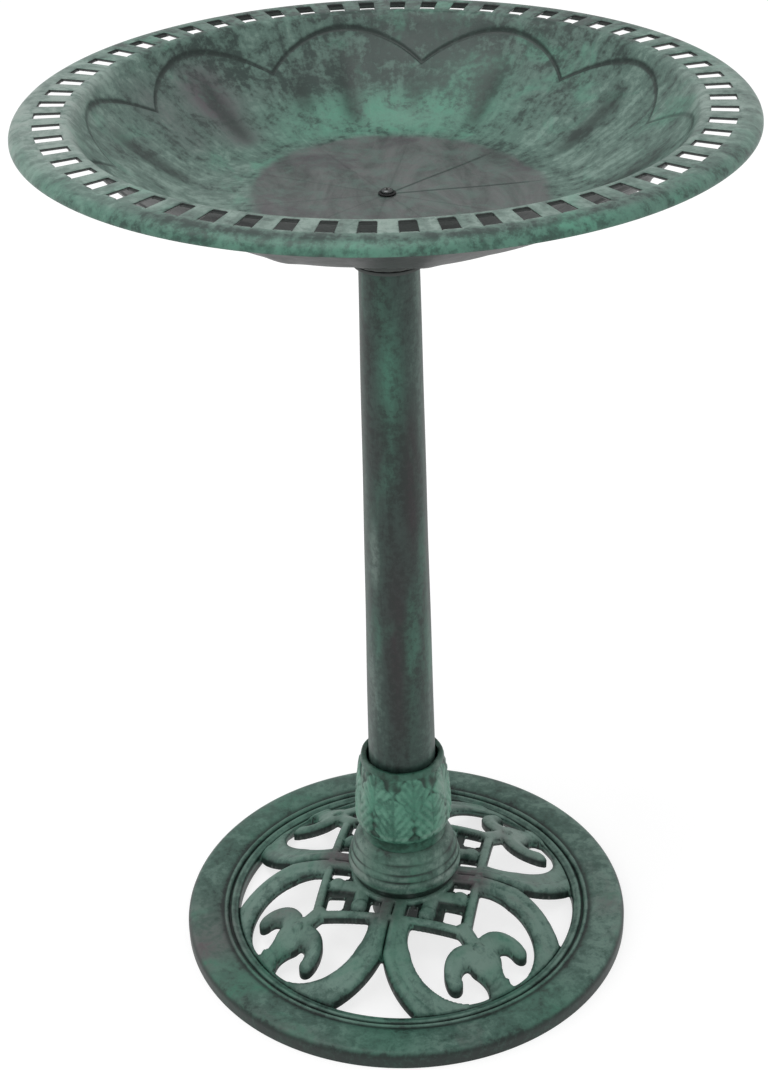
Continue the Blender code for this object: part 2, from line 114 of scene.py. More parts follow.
def around(azimuth, middle, width):
    """A soft patch round an azimuth, all in degrees."""
    return bell_curve((azimuth - middle + 180.0) % 360.0 - 180.0, width)


def smooth_curve(x, points):
    """A cubic through (x, y) points that never overshoots them."""
    xs, ys = np.array(points, float).T
    step = np.diff(xs)
    slope = np.diff(ys) / step
    tangent = np.zeros(len(xs))
    for i in range(1, len(xs) - 1):
        if slope[i - 1] * slope[i] > 0.0:
            ahead = 2.0 * step[i] + step[i - 1]
            back = step[i] + 2.0 * step[i - 1]
            tangent[i] = (ahead + back) / (ahead / slope[i - 1] + back / slope[i])
    tangent[0], tangent[-1] = slope[0], slope[-1]
    x = np.clip(np.asarray(x, float), xs[0], xs[-1])
    i = np.clip(np.searchsorted(xs, x) - 1, 0, len(xs) - 2)
    h = step[i]
    t = (x - xs[i]) / h
    rest = 1.0 - t
    return ((1.0 + 2.0 * t) * rest * rest * ys[i] + t * rest * rest * h * tangent[i]
            + t * t * (3.0 - 2.0 * t) * ys[i + 1] + t * t * (t - 1.0) * h * tangent[i + 1])


def paint_points(mesh, paint):
    """Adds point attributes, which the materials read."""
    for key, values in paint.items():
        layer = mesh.attributes.new(key, "FLOAT", "POINT")
        layer.data.foreach_set("value", np.asarray(values, np.float32))


def add_mesh(name, points, faces, smooth_angle=38.0, paint=None):
    mesh = bpy.data.meshes.new(name)
    mesh.from_pydata(np.asarray(points).tolist(), [], faces)
    mesh.update()
    paint_points(mesh, paint or {})
    mesh.shade_smooth()
    mesh.set_sharp_from_angle(angle=math.radians(smooth_angle))
    made = bpy.data.objects.new(name, mesh)
    bpy.context.scene.collection.objects.link(made)
    return made


def tint(piece, painter):
    """Adds the point attributes that painter(near, radius, height) gives. near(middle, width,
    turn) is a soft patch round an azimuth in degrees, which repeats with each turn."""
    mesh = piece.data
    spots = np.empty(len(mesh.vertices) * 3, np.float32)
    mesh.vertices.foreach_get("co", spots)
    x, y, z = spots.reshape(-1, 3).T
    azimuth = np.degrees(np.arctan2(y, x)) % 360.0

    def near(middle, width, turn=360.0):
        return around(azimuth % turn, middle, width)

    paint_points(mesh, painter(near, np.hypot(x, y), z))
    return piece


def on_circle(radius, angles, z):
    return np.stack([radius * np.cos(angles), radius * np.sin(angles), z], 1)


def grid_faces(rows, columns, closed, skip=lambda i, j: False):
    """Quads of a grid whose columns close on themselves; closed joins the last row to the first."""
    faces = []
    for i in range(rows if closed else rows - 1):
        a, b = i * columns, ((i + 1) % rows) * columns
        for j in range(columns):
            k = (j + 1) % columns
            if not skip(i, j):
                faces.append((a + j, b + j, b + k, a + k))
    return faces


def rounded(points, radius=0.0006, steps=3):
    """Rounds the corners of a closed (radius, z) profile."""
    made = []
    for i, place in enumerate(points):
        here = Vector(place)
        back = Vector(points[i - 1]) - here
        ahead = Vector(points[(i + 1) % len(points)]) - here
        turn = math.pi - back.angle(ahead)
        if turn < math.radians(25.0):
            made.append(tuple(here))
            continue
        reach = min(radius * math.tan(turn / 2.0), back.length * 0.45, ahead.length * 0.45)
        start = here + back.normalized() * reach
        end = here + ahead.normalized() * reach
        for k in range(steps + 1):
            t = k / steps
            made.append(tuple(start * (1 - t) ** 2 + here * 2 * t * (1 - t) + end * t * t))
    return made


def divided(points, longest):
    """Splits the long runs of a closed profile, so that a raised pattern has points to move."""
    made = []
    for i, here in enumerate(points):
        after = points[(i + 1) % len(points)]
        parts = max(1, math.ceil(math.dist(here, after) / longest))
        for k in range(parts):
            t = k / parts
            made.append((here[0] + (after[0] - here[0]) * t, here[1] + (after[1] - here[1]) * t))
    return made


def lathe(name, profile, steps, shape=None, smooth_angle=38.0, centre=(0.0, 0.0), solid=False):
    """A turned body from a closed (radius, z) profile, down its outer side and up its inner one.

    shape(radius, z, angles) may move the points of a row, and gives radius, z and a relief mark
    from -1 in grooves and in painted shade to 1 on crests. The profile of a solid body starts and
    ends close to the axis, and caps close it.
    """
    angles = np.arange(steps) * TAU / steps
    points, relief_and_shade = [], []
    for radius, z in profile:
        r, h, mark = np.full(steps, radius), np.full(steps, z), np.zeros(steps)
        if shape is not None:
            r, h, mark = shape(r, h, angles)
        points.append(on_circle(r, angles, h) + (*centre, 0.0))
        relief_and_shade.append(mark)
    faces = grid_faces(len(profile), steps, closed=not solid)
    if solid:
        last = (len(profile) - 1) * steps
        faces += [tuple(range(steps)), tuple(reversed(range(last, last + steps)))]
    paint = {"relief_and_shade": np.concatenate(relief_and_shade)}
    return add_mesh(name, np.concatenate(points), faces, smooth_angle, paint)


# --- Basin ---

# (radius, depth below the rim's crest) from the middle of the floor out to the rim
WALL_PROFILE = [
    (0.0, 0.0674), (0.060, 0.0673), (0.105, 0.0669), (0.120, 0.0661), (0.130, 0.0640),
    (0.142, 0.0588), (0.156, 0.0508), (0.172, 0.0405), (0.187, 0.0295), (0.199, 0.0185),
    (0.2060, 0.0108), (0.2100, 0.0052), (0.2128, 0.0018), (0.2158, 0.0004), (0.2181, 0.0001),
    (0.2374, 0.0),
]
SKIRT = [
    (0.2398, 0.0), (0.2428, 0.0001), (0.2458, 0.0005), (0.2484, 0.0013), (0.2505, 0.0025),
    (0.2521, 0.0040), (0.2532, 0.0056), (0.2538, 0.0072), (BASIN_RADIUS, 0.0086),
]
FLOOR_ROWS = (0.0028, 0.008, 0.014, 0.022, 0.033, 0.046, 0.058, 0.070, 0.082, 0.094, 0.106, 0.115)
PETAL_FOOT = 0.1200  # radius where the petals rise from the floor
# across a petal's engraved edge: (mm from the line, depth in mm, relief mark)
ENGRAVED_EDGE = (
    (-1.8, 0.45, -0.10), (-1.2, 0.60, -0.50), (-0.6, 1.35, -1.0), (0.0, 1.60, -1.0),
    (0.6, 0.95, -0.85), (1.1, 0.20, -0.25), (1.7, 0.0, 0.0),
)
BAR_HALF = 1.58  # half a bar between two slots, in degrees
# degrees from a bar's middle line: six columns across the bar, five across the slot beside it
COLUMN_OFFSETS = (-BAR_HALF, -1.42, -0.5, 0.5, 1.42, BAR_HALF, 1.82, 2.45, 3.0, 3.55, 4.18)
BAR_COLUMNS = 6
SLOT_ROWS = (SLOT_INNER, 0.2194, 0.2206, 0.2240, 0.2282, 0.2324, 0.2358, 0.2370, SLOT_OUTER)
FLAT_ROWS = (0.2148, 0.2166, *SLOT_ROWS)


def wall_depth(radius):
    return smooth_curve(radius, WALL_PROFILE)


def arc_radius(offset):
    """Radius of a petal's arched edge at an angle from the petal's middle line."""
    chord = CUSP_RADIUS * math.sin(HALF_PETAL)
    rise = ARC_TOP_RADIUS - CUSP_RADIUS * math.cos(HALF_PETAL)
    arc = (chord * chord + rise * rise) / (2.0 * rise)
    centre = ARC_TOP_RADIUS - arc
    return centre * np.cos(offset) + np.sqrt(arc * arc - (centre * np.sin(offset)) ** 2)


def basin_columns():
    pitch = 360.0 / SLOTS
    return np.radians([-90.0 + pitch * k + o for k in range(SLOTS) for o in COLUMN_OFFSETS])


def basin_rows(angles):
    """(radius, depth, relief mark) of each row of the top surface, from the middle to the skirt. The
    relief mark also holds painted shade along the petal folds.
    """
    offset = np.mod(angles - PETAL_START, 2.0 * HALF_PETAL) - HALF_PETAL
    side = np.abs(offset) / HALF_PETAL
    arc = arc_radius(offset)
    slope = np.gradient(arc, offset) / arc
    spread = np.sqrt(1.0 + np.clip(slope, -1.6, 1.6) ** 2)
    fold = bell_curve(side * HALF_PETAL, math.radians(3.3))
    scoop = 1.3 * MM * np.cos(side * math.pi / 2.0)
    azimuth = np.degrees(angles) % 360.0
    vein_strength = 0.30 + 0.95 * around(azimuth, 27.0, 26.0)
    faint = 1.0 - 0.6 * around(azimuth, 180.0, 24.0) - 0.6 * around(azimuth, 0.0, 20.0)
    rows = []

    def add(radius, extra=0.0, relief_and_shade=0.0, depth=None):
        radius = np.broadcast_to(radius, angles.shape)
        depth = wall_depth(radius) if depth is None else np.full(angles.shape, depth)
        rows.append((radius, depth + extra, np.broadcast_to(relief_and_shade, angles.shape)))

    for radius in FLOOR_ROWS:
        crease = bell_curve((1.0 - side) * HALF_PETAL, max(math.radians(0.55), 0.0011 / radius))
        vein = crease * vein_strength * (1.0 - smooth_step(radius, 0.090, 0.118))
        add(radius, 0.5 * MM * vein * smooth_step(radius, 0.045, 0.060), -np.minimum(vein, 1.0))
    inner_edge = arc - 2.5 * MM * spread
    for t in np.linspace(0.0, 1.0, 25):
        rise = smooth_step(t, 0.0, 0.30)
        # Each petal's middle dips in a real valley, which is also painted darker as shade. shade
        # paints two more dark folds, round 112 and 82 degrees, where the surface does not dip.
        valley = smooth_step(t, 0.06, 0.40) * smooth_step(1.0 - t, 0.02, 0.30) * fold
        shade = smooth_step(t, 0.30, 0.60) * smooth_step(1.0 - t, 0.0, 0.3)
        shade = shade * (0.55 * around(azimuth, 112.0, 3.5) + 0.40 * around(azimuth, 82.0, 3.0))
        add(PETAL_FOOT + (inner_edge - PETAL_FOOT) * t,
            rise * (0.5 * MM + scoop) + 1.7 * MM * valley, -0.62 * valley - shade)
    for distance, drop, relief_and_shade in ENGRAVED_EDGE:
        share = smooth_step(-distance, -1.4, 2.3)
        radius = np.minimum(arc + distance * MM * spread, 0.2128)
        add(radius, drop * MM * faint + scoop * share * 0.9, relief_and_shade * faint)
    outer_edge = np.minimum(arc + 1.8 * MM * spread, 0.2129)
    for t in (0.25, 0.5, 0.75, 1.0):
        add(outer_edge + (0.2132 - outer_edge) * t)
    for radius in FLAT_ROWS:
        add(radius)
    for radius, depth in SKIRT:
        add(radius, depth=depth)
    return rows


def slot_edge_drop(radius, angles):
    """How far the rim rounds down beside the edges of a slot."""
    pitch = TAU / SLOTS
    offset = np.mod(angles + math.pi / 2.0 + pitch / 2.0, pitch) - pitch / 2.0
    to_side = (math.radians(BAR_HALF) - np.abs(offset)) * radius
    between = (radius >= SLOT_INNER - 1e-6) & (radius <= SLOT_OUTER + 1e-6)
    near = np.clip(1.0 - to_side / (0.9 * MM), 0.0, 1.0)
    return np.where(between & (to_side > -1e-7), 0.45 * MM * near ** 2, 0.0)


def basin_paint(radius, angles):
    """Patches of the hand-rubbed finish: teal where it is rubbed in, brown where it is worn off,
    floor bare of green. The tone mark is above 0 where it is paler and below 0 where it is darker,
    partly painted sheen. The underside's mark is painted shade at its low belly and under the slots."""
    azimuth = np.degrees(angles) % 360.0

    def near(middle, width):
        return around(azimuth, middle, width)

    def patch(middle, width, inner, outer):
        return near(middle, width) * smooth_step(radius, inner - 0.010, inner + 0.006) \
            * (1.0 - smooth_step(radius, outer - 0.010, outer + 0.018))

    rim = smooth_step(radius, 0.206, 0.214)
    wall = smooth_step(radius, 0.145, 0.185) * (1.0 - rim)
    skirt = smooth_step(radius, 0.2374, 0.2420)
    sides = near(180.0, 38.0) + near(0.0, 34.0)
    back = near(90.0, 52.0)
    front = near(270.0, 48.0)
    teal = 0.95 * patch(92.0, 32.0, 0.124, 0.158) + 0.45 * patch(66.0, 10.0, 0.150, 0.185)
    teal = teal + 0.55 * smooth_step(radius, 0.2460, 0.2500) * near(270.0, 70.0)
    brown = 0.95 * patch(136.0, 6.5, 0.140, 0.196) + 0.40 * patch(152.0, 7.0, 0.150, 0.200)
    # Painted sheen: rim and wall paler at the left and right, and darker at the back. The front of
    # the rim is paler too, and the front skirt darker.
    tone = rim * (0.85 * sides - 0.25 * near(0.0, 30.0) - 0.55 * back + front * (0.55 - 1.20 * skirt))
    tone = tone - wall * (0.60 * back + 0.60 * near(74.0, 14.0) - 0.26 * near(112.0, 9.0))
    tone = tone + 0.40 * (near(180.0, 40.0) + 0.7 * near(10.0, 30.0)) * (1.0 - rim)
    tone = tone + 0.35 * patch(86.0, 24.0, 0.128, 0.150)
    edge = FLOOR_RADIUS - 0.007 - 0.022 * near(185.0, 50.0) - 0.004 * near(20.0, 30.0)
    floor = 1.0 - smooth_step(radius - edge, -0.014, 0.014)
    # Painted shade on the underside: the low belly, and the band under the rim that shows through the
    # slots
    keel_shade = 1.0 - smooth_step(radius, 0.172, 0.186)
    keel_shade = keel_shade + smooth_step(radius, 0.190, 0.200) * (1.0 - smooth_step(radius, 0.2405, 0.2450))
    return {"teal": teal, "brown": brown, "tone": tone, "floor": floor, "keel_shade": keel_shade}


def make_basin():
    """The petalled bowl: its top surface, with the slots left out, thickened downwards."""
    angles = basin_columns()
    rows = basin_rows(angles)
    points, paint = [], {}
    for radius, depth, mark in rows:
        z = RIM_Z - depth - slot_edge_drop(radius, angles)
        points.append(on_circle(radius, angles, z))
        for key, values in {"relief_and_shade": mark, **basin_paint(radius, angles)}.items():
            paint.setdefault(key, []).append(values)
    first_slot = len(rows) - len(SKIRT) - len(SLOT_ROWS)
    last_slot = first_slot + len(SLOT_ROWS) - 1
    faces = grid_faces(len(rows), len(angles), closed=False, skip=lambda i, j: (
        first_slot <= i < last_slot and j % len(COLUMN_OFFSETS) >= BAR_COLUMNS - 1))
    basin = add_mesh("basin_bowl", np.concatenate(points), faces, 50.0,
                     {key: np.concatenate(values) for key, values in paint.items()})
    shell = basin.modifiers.new("wall", "SOLIDIFY")
    shell.thickness = WALL
    shell.offset = -1.0
    shell.use_even_offset = False
    shell.material_offset = 1
    shell.material_offset_rim = 1
    return basin


# --- Base grille ---

GRILLE_COLUMNS = 500
WEB_ROWS = 82
# (radius, height) across the top of the ring: beads and grooves, then the broad outer band
RING_TOP = [
    (0.1420, 0.0104), (0.1427, 0.0116), (0.1438, 0.0122), (0.1452, 0.0121), (0.1465, 0.0128),
    (0.1478, 0.0131), (0.1489, 0.0125), (0.1496, 0.0110), (0.1504, 0.0108), (0.1512, 0.0122),
    (0.1522, 0.0137), (0.1533, 0.0141), (0.1543, 0.0136), (0.1550, 0.0129), (0.1560, 0.0130),
    (0.1580, 0.0138), (0.1610, 0.0144), (0.1650, 0.0148), (0.1700, 0.0150), (0.1750, 0.0149),
    (0.1785, 0.0146), (0.1812, 0.0139), (0.1830, 0.0128), (0.1843, 0.0113), (0.1850, 0.0096),
    (0.1853, 0.0078),
]
# Relief marks across the ring: ridges pale, grooves dark, and its rounded edges painted dark as shade
RING_RELIEF_AND_SHADE = [
    (0.1420, -0.8), (0.1440, 0.3), (0.1452, -0.1), (0.1475, 0.9), (0.1500, -1.0), (0.1531, 1.0),
    (0.1552, -0.7), (0.1600, 0.1), (0.1800, 0.3), (0.1835, -0.3), (0.1853, -1.0),
]
CHANNEL = (0.1468, 0.1812)  # the hollow under the ring, between its two walls
CHANNEL_TOP = 0.0082
WEB_EDGE = 0.0115  # height of the openwork's top where it meets the ring
STEM_START = 0.0800
# (distance out along the stem, half width)
STEM = [
    (STEM_START, 0.0070), (0.0960, 0.0066), (0.1060, 0.0130), (0.1160, 0.0145),
    (0.1255, 0.0105), (0.1310, 0.0092), (0.1370, 0.0112), (0.1460, 0.0150),
]
FLUKE_CENTRE = (0.0162, RIB_CENTRE + 0.0218)
FLUKE_CURVE = 0.0158
FLUKE_FROM, FLUKE_TO = math.radians(196.0), math.radians(352.0)
BOSS_OFF = 0.0288  # a lattice bar and its boss, from the groove line
ROUND_BOSS = 0.0052
SCREW_HOLE = 0.0018


def web_top(radius):
    """Height of the domed openwork's upper face, from the ring in to the hub."""
    share = np.clip((RING_HOLE - radius) / (RING_HOLE - 0.052), 0.0, 1.0)
    return WEB_EDGE + (HUB_TOP - WEB_EDGE) * (1.0 - (1.0 - share) ** 1.8)


def crown(inside, width, height):
    """How far a rounded bar has dropped at a distance inside its edge."""
    rest = 1.0 - np.clip(inside / width, 0.0, 1.0)
    return height * (1.0 - np.sqrt(np.maximum(1.0 - rest * rest, 0.0)))


def from_arm(angle):
    """Angle from the middle line of the nearest arch."""
    return np.mod(angle - ARCH_ANGLE + math.pi / ARMS, TAU / ARMS) - math.pi / ARMS


def fluke_distance(across, out):
    """Distance inside a side lobe of the lily, and from the line along its middle."""
    dx, dy = across - FLUKE_CENTRE[0], out - FLUKE_CENTRE[1]
    turn = np.mod(np.arctan2(dy, dx) - FLUKE_FROM + 0.9, TAU) - 0.9
    share = np.clip(turn / (FLUKE_TO - FLUKE_FROM), 0.0, 1.0)
    at = FLUKE_FROM + share * (FLUKE_TO - FLUKE_FROM)
    away = np.hypot(dx - FLUKE_CURVE * np.cos(at), dy - FLUKE_CURVE * np.sin(at))
    half = 0.0106 - 0.0046 * share ** 1.1 + 0.0008 * smooth_step(share, 0.75, 1.0)
    return half - away, away


def box_distance(x, y, middle_x, middle_y, half_x, half_y):
    return np.minimum(half_x - np.abs(x - middle_x), half_y - np.abs(y - middle_y))


class Openwork:
    """Distances inside each element of the openwork, folded by its symmetry: (across, out) from
    the nearest arch's middle line, (along, off) from the nearest groove line between arches."""

    def __init__(self, radius, angle):
        turn = from_arm(angle)
        across, out = radius * np.sin(np.abs(turn)), radius * np.cos(turn)
        self.radius, self.across, self.out = radius, across, out
        self.along, self.off = (across + out) / math.sqrt(2.0), (out - across) / math.sqrt(2.0)
        self.hole = np.minimum(
            np.hypot(across - ARCH_OFFSET, out - HOLE_CENTRE) - HOLE_CURVE,
            np.hypot(across - SHOULDER_OFFSET, out - SHOULDER_CENTRE) - SHOULDER_CURVE)
        self.rib = RIB_CURVE - np.hypot(across - ARCH_OFFSET, out - RIB_CENTRE)
        self.fluke, self.from_middle = fluke_distance(across, out)
        self.stem = np.minimum(smooth_curve(out, STEM) - across, out - STEM_START)
        window = box_distance(self.along, self.off, 0.0494, 0.0494, 0.0072, 0.0072)
        slit = box_distance(self.along, self.off, 0.0520, 0.0160, 0.0076, 0.0041)
        self.windows = -np.maximum(window, slit)
        x, y = radius * np.cos(turn) - SCREW_CIRCLE, radius * np.sin(turn)
        self.screw = np.hypot(x, y) - SCREW_HOLE
        self.on_ring = radius >= RING_HOLE - 1e-7

    def inside(self):
        """Positive on the metal, negative in an opening."""
        legs = np.minimum(self.hole, np.maximum(self.rib, RIB_CENTRE - self.radius))
        lily = np.maximum(self.stem, self.fluke)
        solid = np.maximum(np.maximum(legs, FRAME_HALF - self.along), lily)
        solid = np.minimum(solid, self.windows)
        solid = np.where(self.on_ring, 0.0003, np.maximum(solid, self.radius - RING_HOLE))
        return np.minimum(solid, self.screw)


def grille_surface(radius, angle):
    """Top height, underside height, and a relief mark from -1 in a groove and on the bars' rounded
    edges, painted dark as shade there, to 1 on a crest.
    """
    part = Openwork(radius, angle)
    across, out, along, off, hole = part.across, part.out, part.along, part.off, part.hole
    web = web_top(radius)
    rise = 0.0012 * smooth_step(radius, 0.050, 0.070)
    low = -1.0
    height = np.full(radius.shape, low)
    relief_and_shade = np.zeros(radius.shape)

    def raise_to(z, mark):
        nonlocal height, relief_and_shade
        relief_and_shade = np.where(z > height, mark, relief_and_shade)
        height = np.maximum(height, z)

    # Painted shade: a rounded bar is marked 1 on its crest, down to -1 on its rounded edges, which
    # the finish darkens
    def lay(inside, top, width, drop_height):
        drop = crown(inside, width, drop_height)
        raise_to(np.where(inside > -1e-5, top - drop, low), 1.0 - 2.0 * drop / drop_height)

    frame_inner = FRAME_HALF - FRAME_BAR
    lay(np.minimum(frame_inner + 0.002 - along, part.windows), web - 0.0046, 0.0016, 0.0010)
    relief_and_shade = np.where(height > low, relief_and_shade - 1.9, relief_and_shade)
    lay(np.minimum(FRAME_HALF - along, along - frame_inner), web + 0.0004, 0.0035, 0.0030)
    edge = np.minimum(off, np.where(radius < 0.075, 1.0, part.rib))
    legs = np.minimum(np.minimum(hole, edge), along - frame_inner - 0.003)
    lay(legs, web + rise - 0.0005, 0.0085, 0.0042)
    ridge = np.minimum(np.minimum(edge, 0.0108 - edge), np.where(along < FRAME_HALF, 1.0, hole))
    lay(ridge, web + rise + 0.0007, 0.0052, 0.0040)
    bar = np.minimum(0.0066 - np.abs(off - BOSS_OFF), frame_inner - along)
    lay(bar, web - 0.0008, 0.0064, 0.0036)
    away = np.hypot((along - 0.0520) / 0.0072, (off - BOSS_OFF) / 0.0070)
    boss = web - 0.0030 + 0.0042 * np.sqrt(np.maximum(1.0 - away * away, 0.0))
    raise_to(np.where(away < 1.0, boss, low), 1.0 - away * away)
    lay(0.0455 - radius, web, 0.0012, 0.0010)
    lay(part.stem, web + 0.0020, 0.0088, 0.0046)
    fluke_top = web + 0.0022 + 0.0007 * bell_curve(part.from_middle, 0.0018)
    lay(part.fluke, fluke_top, 0.0072, 0.0046)
    knot = 1.0 - np.hypot(across / 0.0105, (out - 0.1352) / 0.0044)
    lay(knot * 0.0044, web + 0.0030, 0.0036, 0.0028)
    away = np.hypot(across, out - 0.1075)
    boss = web + 0.0016 + np.sqrt(np.maximum(ROUND_BOSS ** 2 - away ** 2, 0.0)) * 0.62
    raise_to(np.where(away < ROUND_BOSS, boss, low), 1.0 - 1.6 * (away / ROUND_BOSS) ** 2)
    height = np.where(height <= low, web - 0.0040, height)
    height = np.minimum(height, HUB_TOP)
    under = web - WEB + crown(part.inside(), 0.0020, 0.0010)
    under = np.where(radius < HUB_SLEEVE + 1e-5, HUB_SLEEVE_LOW, under)
    ring_under = np.where((radius > CHANNEL[0]) & (radius < CHANNEL[1]), CHANNEL_TOP, 0.0)
    return (np.where(part.on_ring, smooth_curve(radius, RING_TOP), height),
            np.where(part.on_ring, ring_under, under),
            np.where(part.on_ring, smooth_curve(radius, RING_RELIEF_AND_SHADE), np.clip(relief_and_shade, -1.0, 1.0)))


def grille_radii():
    web_rows = list(np.linspace(HUB_HOLE, RING_HOLE, WEB_ROWS))
    web_rows += [SCREW_CIRCLE + d * MM for d in (-1.2, -0.6, 0.6, 1.2)]
    walls = [HUB_SLEEVE, HUB_SLEEVE + 0.0001, 0.1466, 0.1470, 0.1810, 0.1814]
    return np.array(sorted(set(web_rows + walls + [r for r, _ in RING_TOP[1:]])))


def eased(spots, edges):
    """Smooths the outlines of the openings, given (radius, angle) spots and the outlines' edges."""
    flat = np.stack([spots[:, 0] * np.cos(spots[:, 1]), spots[:, 0] * np.sin(spots[:, 1])], 1)
    for _ in range(3):
        total, number = np.zeros(flat.shape), np.zeros(len(flat))
        for here, other in ((0, 1), (1, 0)):
            np.add.at(total, edges[:, here], flat[edges[:, other]])
            np.add.at(number, edges[:, here], 1)
        held = number == 2
        flat[held] = 0.5 * flat[held] + 0.25 * total[held]
    return np.hypot(flat[:, 0], flat[:, 1]), np.arctan2(flat[:, 1], flat[:, 0])


def grille_outline(radii, angles):
    """Marching squares over a polar grid: the flat cells that hold metal, as (radius, angle)
    spots and polygons of them, and the edges along the openings and along the grid's rims."""
    rows, columns = len(radii), len(angles)
    inside = Openwork(*np.meshgrid(radii, angles, indexing="ij")).inside()
    keep = inside >= 0.0
    places, known = [], {}

    def number(key, radius, angle):
        if key not in known:
            known[key] = len(places)
            places.append((radius, angle))
        return known[key]

    def corner(i, j):
        return number((i, j), radii[i], angles[j])

    def crossing(here, after):
        (i, j), (k, l) = sorted((here, after))
        t = inside[i, j] / (inside[i, j] - inside[k, l])
        t = min(max(t, 0.04), 0.96)
        step = math.remainder(angles[l] - angles[j], TAU)
        return number((i, j, k, l), radii[i] + (radii[k] - radii[i]) * t, angles[j] + step * t)

    flats, edges = [], []
    for i in range(rows - 1):
        for j in range(columns):
            k = (j + 1) % columns
            corners = ((i, j), (i + 1, j), (i + 1, k), (i, k))
            ring, cut = [], []
            for here, after in zip(corners, corners[1:] + corners[:1]):
                if keep[here]:
                    ring.append(corner(*here))
                if keep[here] != keep[after]:
                    ring.append(crossing(here, after))
                    cut.append(len(ring) - 1)
            if len(ring) < 3:
                continue
            flats.append(ring)
            edges += [(ring[n], ring[(n + 1) % len(ring)]) for n in cut
                      if (n + 1) % len(ring) in cut]
    radius, angle = eased(np.array(places), np.array(edges))
    for j in range(columns):
        k = (j + 1) % columns
        if keep[0, j] and keep[0, k]:
            edges.append((corner(0, k), corner(0, j)))
        if keep[-1, j] and keep[-1, k]:
            edges.append((corner(rows - 1, j), corner(rows - 1, k)))
    return radius, angle, flats, edges


def make_grille():
    """The base moulding: an upper and a lower skin, and the walls between them."""
    angles = ARCH_ANGLE + math.pi / ARMS + np.arange(GRILLE_COLUMNS) * TAU / GRILLE_COLUMNS
    radius, angle, flats, edges = grille_outline(grille_radii(), angles)
    top, under, relief_and_shade = grille_surface(radius, angle)
    count = len(radius)
    points = np.concatenate([on_circle(radius, angle, top), on_circle(radius, angle, under)])
    faces = [tuple(f) for f in flats]
    faces += [tuple(n + count for n in reversed(f)) for f in flats]
    faces += [(b, a, a + count, b + count) for a, b in edges]
    # The underside skin is marked -0.9, which darkens it and the walls of the openings
    paint = {"relief_and_shade": np.concatenate([relief_and_shade, np.full(count, -0.9)])}
    base = add_mesh("openwork_base", points, faces, 40.0, paint)
    return tint(base, lambda near, r, z: {
        "brown": 0.55 * near(196.0, 16.0) * smooth_step(r, 0.142, 0.150)
        + 0.45 * near(238.0, 14.0) * smooth_step(r, 0.170, 0.180)
        + 1.2 * smooth_step(-r, -0.080, -0.062) * near(74.0, 12.0, 90.0),
        "teal": 0.6 * near(214.0, 9.0) + 0.5 * near(262.0, 12.0)
        + 0.5 * near(308.0, 12.0) + 0.4 * near(130.0, 22.0),
        "tone": 0.30 * near(0.0, 45.0) + 0.12 * near(180.0, 30.0)
        + 0.45 * near(33.0, 14.0, 90.0) * smooth_step(-r, -0.130, -0.120),
    })


# --- Post, foot and fixings ---

PLUG_FLANGE = 0.0262
SOCKET_FLANGE = 0.0460
BOLT_HOLE = 0.0028
# a pan head's dome: (share of its radius, share of its height below the crest)
PAN_HEAD = (
    (0.03, 0.02), (0.15, 0.02), (0.30, 0.03), (0.45, 0.06), (0.60, 0.13), (0.75, 0.25),
    (0.88, 0.44), (0.97, 0.68), (1.0, 0.90), (0.985, 1.0),
)
LEAVES = 7


def post_radius(z):
    low, high = POST[0].z, POST[1].z
    share = (z - low) / (high - low)
    return POST_FOOT_RADIUS + (POST_TOP_RADIUS - POST_FOOT_RADIUS) * share


def make_post():
    """The tapered tube, with the slight waves that a moulded or rolled tube has."""
    low, high = POST[0].z, POST[1].z
    outer = [(post_radius(z), z) for z in np.linspace(high, low, 90)]
    inner = [(post_radius(z) - POST_WALL, z) for z in np.linspace(low, high, 6)]

    def wave(r, h, angles):
        middle = post_radius(h) - POST_WALL / 2.0
        dent = 0.5 + 0.28 * np.sin(2.0 * angles + h * 21.0) + 0.22 * np.sin(3.0 * angles - h * 47.0)
        return r - np.where(r > middle, 0.00035 * dent, 0.0), h, np.zeros(r.shape)

    def painter(near, r, z):
        def patch(middle, width, height, reach):
            return near(middle, width) * bell_curve(z - height, reach)
        # Painted sheen: paler at the column's left and right sides, where it is seen edge-on
        edges = near(205.0, 14.0) + near(335.0, 12.0)
        return {
            "teal": patch(266.0, 22.0, 0.515, 0.045) + 0.55 * patch(226.0, 12.0, 0.368, 0.034)
            + 0.35 * patch(290.0, 14.0, 0.250, 0.050) + 0.5 * patch(250.0, 16.0, 0.580, 0.020),
            "brown": 1.3 * patch(303.0, 15.0, 0.430, 0.055) + 1.1 * patch(270.0, 20.0, 0.285, 0.085)
            + 0.5 * patch(243.0, 10.0, 0.455, 0.050),
            # Paler and darker patches, the painted sheen at the sides, a little darker overall, and
            # painted shade on the front near the top, under the basin
            "tone": 0.85 * patch(228.0, 13.0, 0.365, 0.036) + 0.45 * edges - 0.12
            - 0.12 * patch(270.0, 90.0, 0.580, 0.060) - 0.55 * patch(300.0, 16.0, 0.425, 0.070)
            - 0.45 * patch(268.0, 20.0, 0.270, 0.080) + 0.40 * patch(222.0, 14.0, 0.240, 0.060),
        }

    return tint(lathe("tapered_post", rounded(outer + inner, 0.0007, 2), 96, wave), painter)


def thread(low, high, start):
    """Relief of a two-start screw thread between two heights."""
    def shape(r, h, angles):
        phase = TAU * h / THREAD_PITCH - 2.0 * angles
        held = smooth_step(h, low, low + 0.0015) * smooth_step(-h, -high, -high + 0.0015)
        near = np.abs(r - start) < 0.0004
        move = np.where(near, THREAD_DEPTH * held * np.sin(phase), 0.0)
        return r + move, h, np.zeros(r.shape)
    return shape


